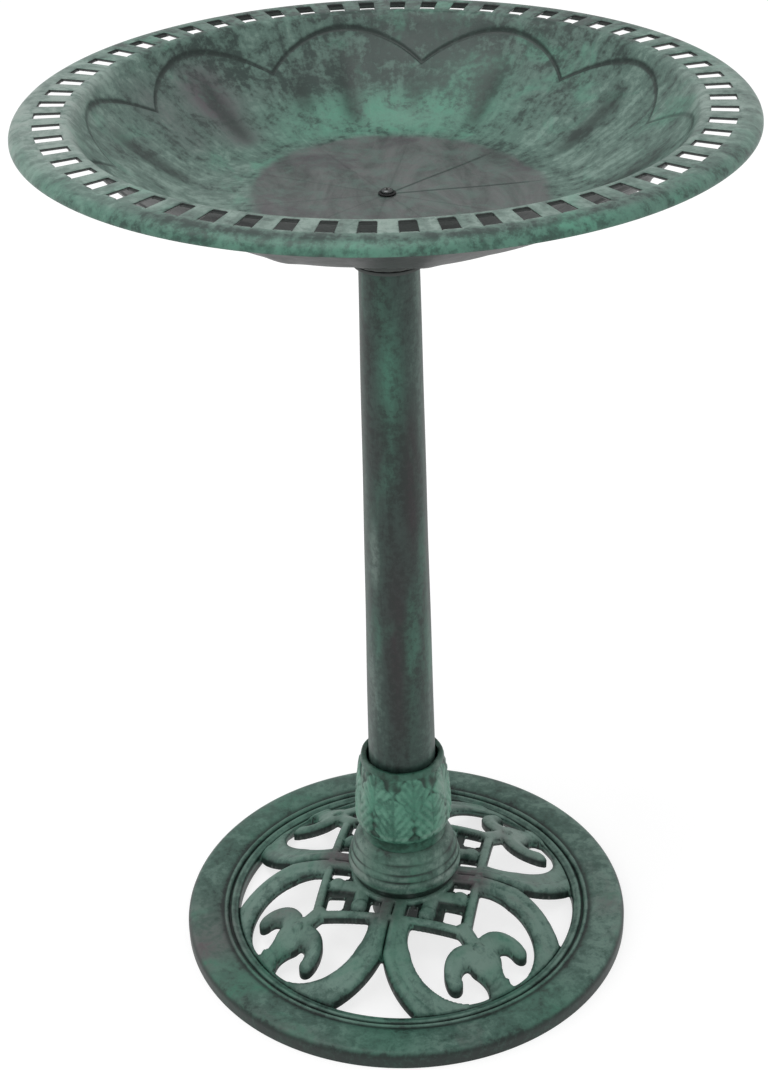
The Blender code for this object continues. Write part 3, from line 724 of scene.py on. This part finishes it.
def make_plug():
    low, high, top = PLUG[0].z, PLUG[1].z, POST[1].z
    flange_low, flange_high = top + 0.0003, top + 0.0028
    inside = post_radius(top) - POST_WALL - 0.0003
    core = THREAD_RADIUS - 0.0004
    bore = 0.0140
    profile = rounded([
        (bore, high), (THREAD_RADIUS - 0.0015, high), (core, high - 0.0016), (core, flange_high),
        (PLUG_FLANGE, flange_high), (PLUG_FLANGE, flange_low), (inside, flange_low),
        (inside - 0.0004, low), (bore, low),
    ], 0.0005, 2)
    shape = thread(flange_high, high - 0.001, core)
    return lathe("threaded_plug", divided(profile, 0.0006), 96, shape)


def make_socket():
    """The socket under the basin: a flange, a waist with finger flutes and a threaded bore."""
    low, high = SOCKET[0].z, SOCKET[1].z
    bore = THREAD_RADIUS + 0.0010
    web = high - 0.0045
    profile = rounded([
        (BOLT_HOLE, high), (SOCKET_FLANGE, high), (SOCKET_FLANGE, high - 0.0040),
        (0.0370, high - 0.0070), (0.0315, high - 0.0140), (0.0296, low + 0.0080),
        (0.0312, low + 0.0060), (0.0312, low + 0.0010), (0.0302, low), (bore, low), (bore, web),
        (BOLT_HOLE, web),
    ], 0.0008, 3)
    cut = thread(low + 0.001, web - 0.001, bore)

    def shape(r, h, angles):
        r, h, mark = cut(r, h, angles)
        on_grip = (r > 0.0285) & (r < 0.0380) & (h < high - 0.0075)
        flute = 0.0007 * (0.5 - 0.5 * np.cos(24.0 * angles)) ** 2
        return r - np.where(on_grip, flute, 0.0), h, mark

    return lathe("screw_socket", divided(profile, 0.0012), 192, shape)


def ring_loop(inner, outer, low, high):
    return [(inner, high), (outer, high), (outer, low), (inner, low)]


def make_washer(name, node, hole, corner, steps=64, centre=(0.0, 0.0)):
    low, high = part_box(node)
    outer = (high.x - low.x) / 2.0
    profile = rounded(ring_loop(hole, outer, low.z, high.z), corner, 3)
    return lathe(name, profile, steps, centre=centre)


def make_screw(name, node, radius, height, shank, centre=(0.0, 0.0), up=1.0):
    """A pan-head screw in a node's place, with a head this wide and high; up is -1 head down."""
    crest, tip = (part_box(node)[n].z for n in ((1, 0) if up > 0.0 else (0, 1)))
    seat = crest - up * height
    recess = 0.55 * radius
    turns = max(4, int(abs(tip - seat) / 0.00018))
    profile = [(radius * s, crest - up * height * d) for s, d in PAN_HEAD]
    profile.append((shank * 1.02, seat))
    profile += [(shank, seat + (tip - seat) * t) for t in np.linspace(0.04, 0.96, turns)]
    profile += [(shank * 0.6, tip), (0.0001, tip)]

    def shape(r, h, angles):
        x, y = r * np.cos(angles), r * np.sin(angles)
        slot = np.maximum(bell_curve(x, radius * 0.11), bell_curve(y, radius * 0.11))
        on_top = up * (h - (seat + up * height * 0.5)) > 0.0
        depth = np.where(on_top, slot * (1.0 - smooth_step(r, recess * 0.7, recess)), 0.0)
        h = h - up * depth * height * 0.45
        on_shank = (up * (seat - h) > 0.0006) & (r > shank * 0.8)
        turn = np.sin(TAU * h / 0.0008 - angles)
        return r - np.where(on_shank, 0.00014 * (1.0 + turn), 0.0), h, -depth

    if up < 0.0:
        profile.reverse()
    return lathe(name, profile, 32, shape, 40.0, centre, solid=True)


def screw_places():
    for index in range(ARMS):
        angle = ARCH_ANGLE + TAU * index / ARMS
        yield index + 1, (SCREW_CIRCLE * math.cos(angle), SCREW_CIRCLE * math.sin(angle))


def make_nut():
    low, high = NUT[0].z, NUT[1].z
    apothem = (NUT[1].x - NUT[0].x) / 2.0 * math.cos(math.pi / 6.0)
    hole = BOLT_HOLE / math.cos(math.pi / 6.0)
    profile = rounded(ring_loop(hole, 0.0046, low, high), 0.0002, 1)

    def shape(r, h, angles):
        facet = apothem / np.cos(np.mod(angles + math.pi / 6.0, math.pi / 3.0) - math.pi / 6.0)
        cone = 0.0041 + np.minimum(h - low, high - h) * 1.6
        return np.where(r > 0.0038, np.minimum(facet, cone), r), h, np.zeros(r.shape)

    return lathe("hex_nut", divided(profile, 0.0004), 72, shape, 25.0)


def make_bell():
    """The bell foot: ridges round its shoulder, and the sleeve that holds the post."""
    low, high = BELL[0].z, BELL[1].z
    ledge = POST[0].z - 0.0003
    outer = [
        (SLEEVE_RADIUS - 0.0010, high), (SLEEVE_RADIUS, high - 0.0010),
        (SLEEVE_RADIUS, 0.0907), (0.0332, 0.0903), (0.0341, 0.0896), (0.0355, 0.0886),
        (0.0371, 0.0872), (0.0386, 0.0854), (0.0400, 0.0834), (0.0412, 0.0812), (0.0421, 0.0788),
        (0.0428, 0.0764), (0.0432, 0.0744), (0.0434, 0.0732), (0.0438, 0.0723), (0.0445, 0.0713),
        (0.0451, 0.0700), (0.0455, 0.0686), (0.0456, 0.0673), (0.0458, 0.0664), (0.0462, 0.0653),
        (0.0465, 0.0640), (0.0469, 0.0625), (0.0471, 0.0608), (0.0470, 0.0592), (0.0466, 0.0577),
        (0.0459, 0.0563), (0.0450, 0.0550), (0.0441, 0.0537), (0.0434, 0.0522), (0.0430, 0.0505),
        (0.0427, 0.0488), (0.0421, 0.0478), (0.0412, low),
    ]
    inner = [(HUB_HOLE, low), (HUB_HOLE, ledge), (FOOT_BORE, ledge), (FOOT_BORE, high)]

    def shape(r, h, angles):
        # Darker inside and in the grooves. Painted shade on the neck under the collar and on the
        # underside that curves in.
        mark = np.where(r > 0.0315, 0.35, -0.4)
        for z in (0.0806, 0.0730, 0.0670):
            wavy = 0.75 + 0.25 * np.sin(5.0 * angles + 900.0 * z)
            mark = np.where(r > 0.0375, mark - 1.25 * wavy * bell_curve(h - z, 0.0012), mark)
        mark = mark - 0.6 * smooth_step(h, 0.0865, 0.0895) - 1.3 * smooth_step(-h, -0.0575, -0.0540)
        return r + 0.00015 * np.sin(5.0 * angles + h * 300.0), h, np.clip(mark, -1.0, 1.0)

    bell = lathe("bell_shell", outer + rounded(inner, 0.0005, 2), 144, shape, 42.0)
    return tint(bell, lambda near, r, z: {
        # Painted sheen at the left and right sides, and a painted highlight round the bulge of the
        # shoulder
        "tone": 0.60 * near(212.0, 26.0) + 0.35 * near(318.0, 20.0)
        + 0.35 * bell_curve(z - 0.0640, 0.0030),
        "teal": 0.7 * near(222.0, 26.0) + 0.4 * near(285.0, 14.0),
    })


def leaf_tier(angle, height, shift, foot, tip, reach):
    """Distance in metres inside the leaves of one tier, and the raised pattern of their ribs and
    veins.
    """
    pitch = TAU / LEAVES
    off = np.mod(angle + shift, pitch) - pitch / 2.0
    t = (height - foot) / (tip - foot)
    belly = np.sin(math.pi * np.clip(0.18 + 0.80 * t, 0.0, 1.0)) ** 0.6
    half = pitch / 2.0 * reach * belly
    radius = 0.037
    lobes = 0.0012 * np.cos(TAU * t * 4.5)
    inside = np.where((t >= 0.0) & (t <= 1.0), (half - np.abs(off)) * radius + lobes, -0.01)
    rib = bell_curve(off * radius, 0.0011)
    vein = np.cos(TAU * (t * 4.5 - np.abs(off) * radius / 0.0065)) * (1.0 - rib)
    return inside, smooth_step(inside, 0.0, 0.0026), 0.20 * vein - 0.35 * rib


def make_collar():
    """The leaf collar: two tiers of overlapping leaves below a soft lip, and a plain neck."""
    low, high = COLLAR[0].z, COLLAR[1].z
    lip = [
        (0.0318, high - 0.0002), (0.0328, high - 0.0006), (0.0335, high - 0.0016),
        (0.0339, high - 0.0032), (0.0342, high - 0.0048),
    ]
    side = [
        (0.0346, high - 0.0066), (0.0356, 0.1600), (0.0368, 0.1520), (0.0379, 0.1430),
        (0.0388, 0.1330), (0.0394, 0.1240), (0.0397, 0.1170), (0.0396, 0.1110),
        (0.0390, 0.1068), (0.0381, 0.1040), (0.0369, 0.1020), (0.0357, 0.1005),
        (0.0350, 0.0985), (0.0347, 0.0960), (0.0346, low),
    ]
    inner = [
        (SLEEVE_RADIUS + 0.0003, low), (0.0333, 0.0985), (0.0336, 0.1020), (0.0350, 0.1060),
        (0.0352, 0.1110), (0.0345, 0.1290), (0.0318, 0.1580), (FOOT_BORE + 0.0003, 0.1630),
        (FOOT_BORE + 0.0003, high - 0.0015),
    ]
    heights = np.linspace(high - 0.0066, low, 70)
    radii = smooth_curve(-heights, [(-z, r) for r, z in side])
    profile = lip + list(zip(radii.tolist(), heights)) + inner

    def shape(r, h, angles):
        on_skin = (r > 0.0344) & (h < high - 0.0060) & (h > 0.1035)
        upper, raise_u, veins_u = leaf_tier(angles, h, 0.0, 0.1200, 0.1650, 1.02)
        lower, raise_l, veins_l = leaf_tier(angles, h, TAU / LEAVES / 2.0, 0.1030, 0.1460, 1.04)
        ground = 0.38 + 0.26 * np.sin(17.0 * angles + 260.0 * h) * np.sin(11.0 * angles - 190.0 * h)
        relief_u = np.maximum(raise_u * (0.72 + veins_u), ground)
        relief_l = raise_l * (0.85 + veins_l)
        both = np.maximum(relief_l, relief_u * (1.0 - raise_l))
        nearest = np.where(lower > 0.0, lower, np.minimum(np.abs(lower), np.abs(upper)))
        carve = np.where(lower > 0.0, both, relief_u) - 0.22 * bell_curve(nearest, 0.0010)
        depth = 0.0016 * (carve - 0.85)
        mark = np.where(on_skin, np.clip(carve * 1.7 - 0.85, -0.7, 0.8), 0.45)
        # Painted shade: darker on the neck below the leaves, and inside the lip and the bore. The top
        # of the leaves, just under the lip, is a little darker too.
        mark = mark - 0.75 * smooth_step(-h, -0.1030, -0.1000)
        mark = np.where(r < 0.0344, np.where(h < high - 0.006, -0.8, -0.35), mark)
        mark = np.where((h > high - 0.0150) & on_skin, mark - 0.15, mark)
        waves = np.where(h > high - 0.0055, 0.00025 * np.cos(LEAVES * angles), 0.0)
        return r + np.where(on_skin, depth, waves), h, np.clip(mark, -1.0, 1.0)

    collar = lathe("leaf_collar_shell", profile, 240, shape, 60.0)
    return tint(collar, lambda near, r, z: {
        # Painted sheen at the left and right sides, and a painted highlight along the band where the
        # leaves curve in to the neck
        "tone": 0.65 * near(208.0, 16.0) + 0.65 * near(330.0, 18.0)
        + 0.45 * bell_curve(z - 0.1075, 0.0030),
        "teal": 0.65 * near(285.0, 34.0) * bell_curve(z - 0.140, 0.026),
    })


# --- Finishes ---

def srgb(red, green, blue):
    """A shader colour from an everyday 0 to 255 one."""
    def linear(value):
        value /= 255.0
        return value / 12.92 if value <= 0.04045 else ((value + 0.055) / 1.055) ** 2.4
    return linear(red), linear(green), linear(blue), 1.0


class Finish:
    """One node material, and short names for the nodes that it is made of."""

    def __init__(self, name):
        self.material = bpy.data.materials.new(name)
        self.material.use_nodes = True
        self.tree = self.material.node_tree
        self.shader = self.tree.nodes["Principled BSDF"]
        self.place = self.add("ShaderNodeTexCoord", out="Object")

    def feed(self, socket, value):
        if isinstance(value, bpy.types.NodeSocket):
            self.tree.links.new(value, socket)
        else:
            socket.default_value = value

    def add(self, kind, inputs=None, out=0, **settings):
        """Adds a node with these input values or links, and gives one of its outputs."""
        node = self.tree.nodes.new(kind)
        for key, value in settings.items():
            setattr(node, key, value)
        for key, value in (inputs or {}).items():
            self.feed(node.inputs[key], value)
        return node.outputs[out]

    def noise(self, scale, detail=4.0, rough=0.55, stretch=(1.0, 1.0, 1.0), shift=(0.0, 0.0, 0.0),
              twist=0.0):
        place = self.add("ShaderNodeMapping", {
            "Vector": self.place, "Scale": stretch, "Location": shift})
        return self.add("ShaderNodeTexNoise", {
            "Vector": place, "Scale": scale, "Detail": detail, "Roughness": rough,
            "Distortion": twist})

    def ray(self, scale):
        """A noise drawn out along the lines that run from the upright axis."""
        def vector(operation, *values):
            return self.add("ShaderNodeVectorMath", dict(enumerate(values)), operation=operation)
        way = vector("NORMALIZE", vector("MULTIPLY", self.place, (1.0, 1.0, 0.0)))
        part = vector("MULTIPLY_ADD", self.place, (0.6, 0.6, 0.6), way)
        noise = self.add("ShaderNodeTexNoise", {"Vector": part, "Scale": scale, "Detail": 3.0})
        return self.between(noise, 0.36, 0.64)

    def attribute(self, name):
        return self.add("ShaderNodeAttribute", out="Fac", attribute_name=name)

    def math(self, operation, first, second=0.0, third=0.0, clamp=False):
        return self.add("ShaderNodeMath", {0: first, 1: second, 2: third}, operation=operation,
                        use_clamp=clamp)

    def times(self, first, second):
        return self.math("MULTIPLY", first, second)

    def total(self, *terms):
        """Sum of (value, weight) pairs and a plain number."""
        result = None
        for term in terms:
            value, weight = term if isinstance(term, tuple) else (term, 1.0)
            if result is None:
                result = self.times(value, weight)
            else:
                result = self.math("MULTIPLY_ADD", value, weight, result)
        return result

    def between(self, value, low, high):
        """0 below low, 1 above high, with a smooth step between."""
        return self.add("ShaderNodeMapRange", {"Value": value, "From Min": low, "From Max": high},
                        interpolation_type="SMOOTHSTEP")

    def mix(self, share, first, second):
        return self.add("ShaderNodeMix", {0: share, 6: first, 7: second}, out=2, data_type="RGBA")

    def worn(self, share, ragged, first, second):
        """Second over first, by a share whose edges are ragged."""
        share = self.math("MULTIPLY", self.math("MINIMUM", share, 1.0), ragged, clamp=True)
        return self.mix(share, first, second)

    def blot(self, value, low, high, share, first, second):
        """Second over first by a share, where a value lies above low or high."""
        return self.mix(self.times(self.between(value, low, high), share), first, second)

    def bump(self, height, distance, strength=1.0, under=None):
        inputs = {"Strength": strength, "Distance": distance, "Height": height}
        if under is not None:
            inputs["Normal"] = under
        return self.add("ShaderNodeBump", inputs)

    def finish(self, color, roughness, normal=None, metallic=0.0, specular=0.5):
        inputs = self.shader.inputs
        inputs["Metallic"].default_value = metallic
        inputs["Specular IOR Level"].default_value = specular
        self.feed(inputs["Base Color"], color)
        self.feed(inputs["Roughness"], roughness)
        if normal is not None:
            self.feed(inputs["Normal"], normal)
        return self.material


# A pale chalky grey, used in part as painted sheen
CHALK_AND_SHEEN = srgb(148, 153, 150)
FLOOR_DARK = srgb(54, 58, 57)
FLOOR_LIGHT = srgb(92, 93, 93)
FLOOR_GREEN = srgb(78, 97, 91)
FLOOR_PLUM = srgb(66, 58, 64)
# A near-black green, painted shade on the basin's underside
KEEL_SHADE = srgb(16, 24, 22)
BLACK = srgb(0, 0, 0)
UP_AND_DOWN = (1.0, 1.0, 0.22)  # stretches a noise into upright streaks


def verdigris(name, palette, bias=0.0, relief_and_shade=0.30, stretch=(1.0, 1.0, 1.0), patches=0.0,
              streaks=0.0, extra=None):
    """Brown-black resin with a verdigris green rubbed over it by hand.

    palette is the dark, middle and light green, the bare brown and the fresh teal, 0 to 255. The
    green lies on the crests and leaves the grooves dark, and the relief mark also holds painted
    shade, which darkens in the same way. The relief weight is how strongly it does so, bias how
    much green there is, patches how much brown shows through it, and streaks how much of it runs
    from the rim towards the middle. Where the tone mark is high, the colour is paler and mixed
    towards a pale chalky grey, which is in part painted sheen. extra(finish, color, cloud, rub) may
    lay more over it.
    """
    f = Finish(name)
    dark, middle, light, brown, teal = (srgb(*shade) for shade in palette)
    cloud = f.noise(9.0, 3.0, 0.55, stretch, (1.3, 0.7, 2.1), 0.4)
    rub = f.noise(46.0, 7.0, 0.66, stretch, (4.1, 2.2, 0.3), 0.6)
    speck = f.noise(190.0, 4.0, 0.70)
    # height is the relief mark, with crests, grooves and painted shade. The tone mark holds paler and
    # darker patches and painted sheen.
    height, tone = f.attribute("relief_and_shade"), f.attribute("tone")
    cover = f.total(
        (f.between(cloud, 0.36, 0.64), 0.14), (f.between(rub, 0.36, 0.64), 0.46),
        (f.between(speck, 0.34, 0.66), 0.32), (height, relief_and_shade), (tone, 0.42),
        (f.ray(30.0), streaks), bias - 0.5 * streaks)
    color = f.mix(f.between(cover, 0.02, 0.52), dark, middle)
    color = f.mix(f.between(cover, 0.46, 1.08), color, light)
    ragged = f.total(
        (f.between(speck, 0.36, 0.62), 0.55), (f.between(rub, 0.36, 0.62), 0.60), 0.15)
    wear = f.noise(14.0, 5.0, 0.6, stretch, (7.7, 3.1, 5.2), 0.5)
    share = f.total((f.attribute("brown"), 1.0), (f.between(wear, 0.52, 0.70), patches))
    color = f.worn(share, ragged, color, brown)
    fresh = f.noise(21.0, 5.0, 0.6, stretch, (2.7, 9.1, 1.2), 0.5)
    share = f.total((f.attribute("teal"), 1.0), (f.between(fresh, 0.54, 0.70), 0.55))
    color = f.worn(share, ragged, color, teal)
    # In part painted sheen: a pale chalky grey where the tone mark is high
    chalk_and_sheen = f.times(f.between(tone, 0.15, 1.0), ragged)
    color = f.mix(f.times(chalk_and_sheen, 0.55), color, CHALK_AND_SHEEN)
    if extra is not None:
        color = extra(f, color, cloud, rub)
    # Near black in the grooves, and in the painted shade that the relief mark holds
    groove = f.total((height, -1.0), (speck, 0.25))
    color = f.blot(groove, 0.10, 0.95, 0.88, color, f.mix(0.45, dark, BLACK))
    color = f.blot(speck, 0.50, 0.66, 0.22, color, middle)
    rough = f.total((rub, 0.22), (speck, 0.14), 0.28)
    brushed = f.noise(60.0, 4.0, 0.6, stretch, (3.3, 1.9, 8.4))
    normal = f.bump(speck, 0.00030, 0.65, f.bump(brushed, 0.0007, 0.40))
    return f.finish(color, rough, normal, specular=0.40)


def basin_floor(f, color, cloud, rub):
    """The basin's floor, where the green is rubbed thin and the brown-grey shows."""
    streak = f.noise(26.0, 6.0, 0.65, (1.0, 0.40, 1.0), (5.0, 1.0, 0.0), 0.8)
    smudge = f.noise(16.0, 5.0, 0.6, (1.0, 1.0, 1.0), (2.0, 6.0, 4.0), 0.6)
    earth = f.mix(f.between(streak, 0.34, 0.64), FLOOR_DARK, FLOOR_LIGHT)
    earth = f.blot(rub, 0.46, 0.66, 0.60, earth, FLOOR_GREEN)
    earth = f.blot(smudge, 0.54, 0.70, 0.75, earth, FLOOR_PLUM)
    ragged = f.total((f.attribute("floor"), 1.0), (cloud, 0.55), (rub, 0.85), -0.70)
    return f.blot(ragged, 0.30, 0.70, 0.92, color, earth)


def keel_shade(f, color, cloud, rub):
    """Painted shade: the underside's low belly, and the band under the rim that shows through the
    slots, darkened towards a near-black green.
    """
    return f.mix(f.total((f.attribute("keel_shade"), 0.85), (cloud, 0.1)), color, KEEL_SHADE)


def resin_dark(name):
    """The plain moulded resin of the hidden fittings."""
    f = Finish(name)
    cloud = f.noise(45.0, 4.0, 0.6)
    speck = f.noise(600.0, 3.0, 0.6)
    color = f.mix(cloud, srgb(34, 38, 37), srgb(58, 64, 61))
    color = f.mix(f.times(speck, 0.25), color, srgb(92, 98, 95))
    rough = f.total((speck, 0.25), (cloud, 0.10), 0.38)
    return f.finish(color, rough, f.bump(speck, 0.00012, 0.6), specular=0.4)


def rubber(name):
    f = Finish(name)
    cloud = f.noise(80.0, 4.0, 0.6)
    speck = f.noise(1200.0, 2.0, 0.6)
    color = f.mix(cloud, srgb(22, 22, 23), srgb(40, 40, 41))
    rough = f.total((speck, 0.15), 0.72)
    return f.finish(color, rough, f.bump(speck, 0.0001, 0.8), specular=0.3)


def zinc(name, dark, light):
    """Zinc-plated steel: faint spangle, fine scratches and a little darker in the recesses."""
    f = Finish(name)
    spangle = f.add("ShaderNodeTexVoronoi", {"Vector": f.place, "Scale": 900.0}, out="Distance")
    cloud = f.noise(160.0, 5.0, 0.6)
    scratch = f.noise(700.0, 2.0, 0.5, (1.0, 0.08, 1.0))
    color = f.mix(cloud, srgb(*dark), srgb(*light))
    color = f.mix(f.times(spangle, 0.35), color, srgb(120, 122, 126))
    hollow = f.times(f.attribute("relief_and_shade"), -1.0)
    color = f.blot(hollow, 0.0, 0.6, 0.7, color, srgb(58, 56, 52))
    rough = f.total((cloud, 0.18), (scratch, 0.12), 0.22)
    return f.finish(color, rough, f.bump(scratch, 0.00005, 0.5), metallic=1.0)


def make_finishes():
    return {
        "basin": verdigris(
            "basin_verdigris",
            [(38, 56, 51), (76, 101, 92), (118, 142, 132), (84, 76, 82), (78, 132, 112)],
            bias=-0.02, relief_and_shade=0.34, patches=0.12, streaks=0.22, extra=basin_floor),
        # The underside's whole palette is darker: painted shade under the bowl and behind the slots
        "underside": verdigris(
            "basin_underside",
            [(16, 28, 25), (40, 54, 49), (74, 88, 82), (56, 52, 54), (50, 76, 66)],
            relief_and_shade=0.0, patches=0.2, extra=keel_shade),
        "post": verdigris(
            "post_verdigris",
            [(20, 34, 30), (42, 62, 56), (84, 108, 99), (38, 30, 34), (60, 110, 92)],
            bias=-0.02, patches=0.45, stretch=UP_AND_DOWN),
        "collar": verdigris(
            "collar_verdigris",
            [(26, 60, 47), (54, 98, 82), (98, 146, 126), (70, 88, 80), (64, 124, 102)],
            bias=0.02, relief_and_shade=0.44, patches=0.10),
        "bell": verdigris(
            "bell_verdigris",
            [(24, 42, 36), (58, 86, 76), (112, 138, 127), (84, 80, 81), (60, 106, 88)],
            bias=-0.04, relief_and_shade=0.36, patches=0.25),
        "base": verdigris(
            "base_verdigris",
            [(20, 38, 33), (58, 88, 78), (102, 130, 119), (88, 78, 82), (58, 112, 92)],
            bias=0.04, relief_and_shade=0.42, patches=0.60),
        "dark": resin_dark("dark_moulding"),
        "rubber": rubber("black_rubber"),
        "zinc": zinc("zinc_plate", (150, 151, 152), (198, 199, 198)),
        "dull_zinc": zinc("weathered_zinc", (52, 54, 53), (92, 94, 92)),
    }


# --- Camera, light and floor ---

CAMERA_PLACE = Vector((0.0, -1.3329, 1.1571))
CAMERA_PITCH = math.radians(30.471)  # looking down
CAMERA_YAW = math.radians(-0.398)
CAMERA_ROLL = math.radians(-1.717)
CAMERA_LENS = 68.13
WHITE = (1.0, 1.0, 1.0, 1.0)
FLOOR_HALF = 9.0
FLOOR_Z = -0.0004
FLOOR_GLOW = 0.74
SKY_STRENGTH = 0.80
LAMP_PLACE = Vector((-0.5, -0.3, 2.6))
LAMP_AIM = Vector((0.0, 0.0, 0.4))
LAMP_SIZE = 1.8
LAMP_POWER = 22.0


def make_camera():
    data = bpy.data.cameras.new("camera")
    data.lens = CAMERA_LENS
    data.sensor_width = 36.0
    data.sensor_fit = "AUTO"
    data.clip_start = 0.01
    camera = bpy.data.objects.new("camera", data)
    bpy.context.scene.collection.objects.link(camera)
    yaw = Matrix.Rotation(-CAMERA_YAW, 4, "Z")
    pitch = Matrix.Rotation(math.pi / 2.0 - CAMERA_PITCH, 4, "X")
    roll = Matrix.Rotation(CAMERA_ROLL, 4, "Z")
    camera.matrix_world = Matrix.Translation(CAMERA_PLACE) @ yaw @ pitch @ roll
    bpy.context.scene.camera = camera


def make_studio():
    """A white room: an even sky, one soft lamp overhead and a floor that glows a little."""
    scene = bpy.context.scene
    scene.view_settings.view_transform = "Standard"
    world = bpy.data.worlds.new("studio")
    scene.world = world
    world.use_nodes = True
    sky = world.node_tree.nodes["Background"]
    sky.inputs["Color"].default_value = WHITE
    sky.inputs["Strength"].default_value = SKY_STRENGTH
    data = bpy.data.lights.new("overhead", "AREA")
    data.shape = "DISK"
    data.size = LAMP_SIZE
    data.energy = LAMP_POWER
    lamp = bpy.data.objects.new("overhead", data)
    scene.collection.objects.link(lamp)
    lamp.location = LAMP_PLACE
    lamp.rotation_euler = (LAMP_AIM - LAMP_PLACE).to_track_quat("-Z", "Y").to_euler()
    corners = [(x * FLOOR_HALF, y * FLOOR_HALF, FLOOR_Z)
               for x, y in ((-1, -1), (1, -1), (1, 1), (-1, 1))]
    floor = add_mesh("floor", corners, [(0, 1, 2, 3)])
    f = Finish("floor_white")
    f.shader.inputs["Emission Color"].default_value = WHITE
    f.shader.inputs["Emission Strength"].default_value = FLOOR_GLOW
    paper = f.mix(f.noise(3.0, 2.0), (0.33, 0.33, 0.33, 1.0), (0.36, 0.36, 0.36, 1.0))
    floor.data.materials.append(f.finish(paper, 0.95, specular=0.2))


# --- Putting it together ---

def place(piece, node, body, slot, finish):
    """Gives a piece its finish and its body in the frame, and hides its CAD node. slot is not used.
    """
    piece.data.materials.append(finish)
    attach(piece, body)
    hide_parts(node)


def main():
    make_camera()
    make_studio()
    finish = make_finishes()
    zinc_plate = finish["zinc"]
    basin = make_basin()
    place(basin, "basin", "basin", "basin_resin", finish["basin"])
    basin.data.materials.append(finish["underside"])
    place(make_socket(), "basin_socket", "basin", "dark_resin", finish["dark"])
    bolt = make_screw("basin_bolt", "centre_bolt", 0.0046, 0.0024, 0.0025)
    place(bolt, "centre_bolt", "basin", "zinc_steel", finish["dull_zinc"])
    seal = make_washer("rubber_seal", "bolt_seal", BOLT_HOLE, 0.0005)
    place(seal, "bolt_seal", "basin", "rubber", finish["rubber"])
    washer = make_washer("plain_washer", "bolt_washer", BOLT_HOLE, 0.0002)
    place(washer, "bolt_washer", "basin", "zinc_steel", zinc_plate)
    place(make_nut(), "bolt_nut", "basin", "zinc_steel", zinc_plate)
    seat = make_washer("seat_ring", "seat_washer", 0.0194, 0.0005, 96)
    place(seat, "seat_washer", "seat", "rubber", finish["rubber"])
    place(make_post(), "post", "post", "post_resin", finish["post"])
    place(make_plug(), "post_plug", "post", "dark_resin", finish["dark"])
    place(make_collar(), "leaf_collar", "stand", "collar_resin", finish["collar"])
    place(make_bell(), "bell_foot", "stand", "foot_resin", finish["bell"])
    place(make_grille(), "base_grille", "stand", "base_resin", finish["base"])
    for index, centre in screw_places():
        node = f"foot_screw_{index}"
        screw = make_screw(f"pan_screw_{index}", node, 0.0033, 0.0022, 0.0015, centre, -1.0)
        place(screw, node, "stand", "zinc_steel", zinc_plate)
        node = f"foot_washer_{index}"
        washer = make_washer(f"screw_washer_{index}", node, SCREW_HOLE, 0.0002, 48, centre)
        place(washer, node, "stand", "zinc_steel", zinc_plate)


main()
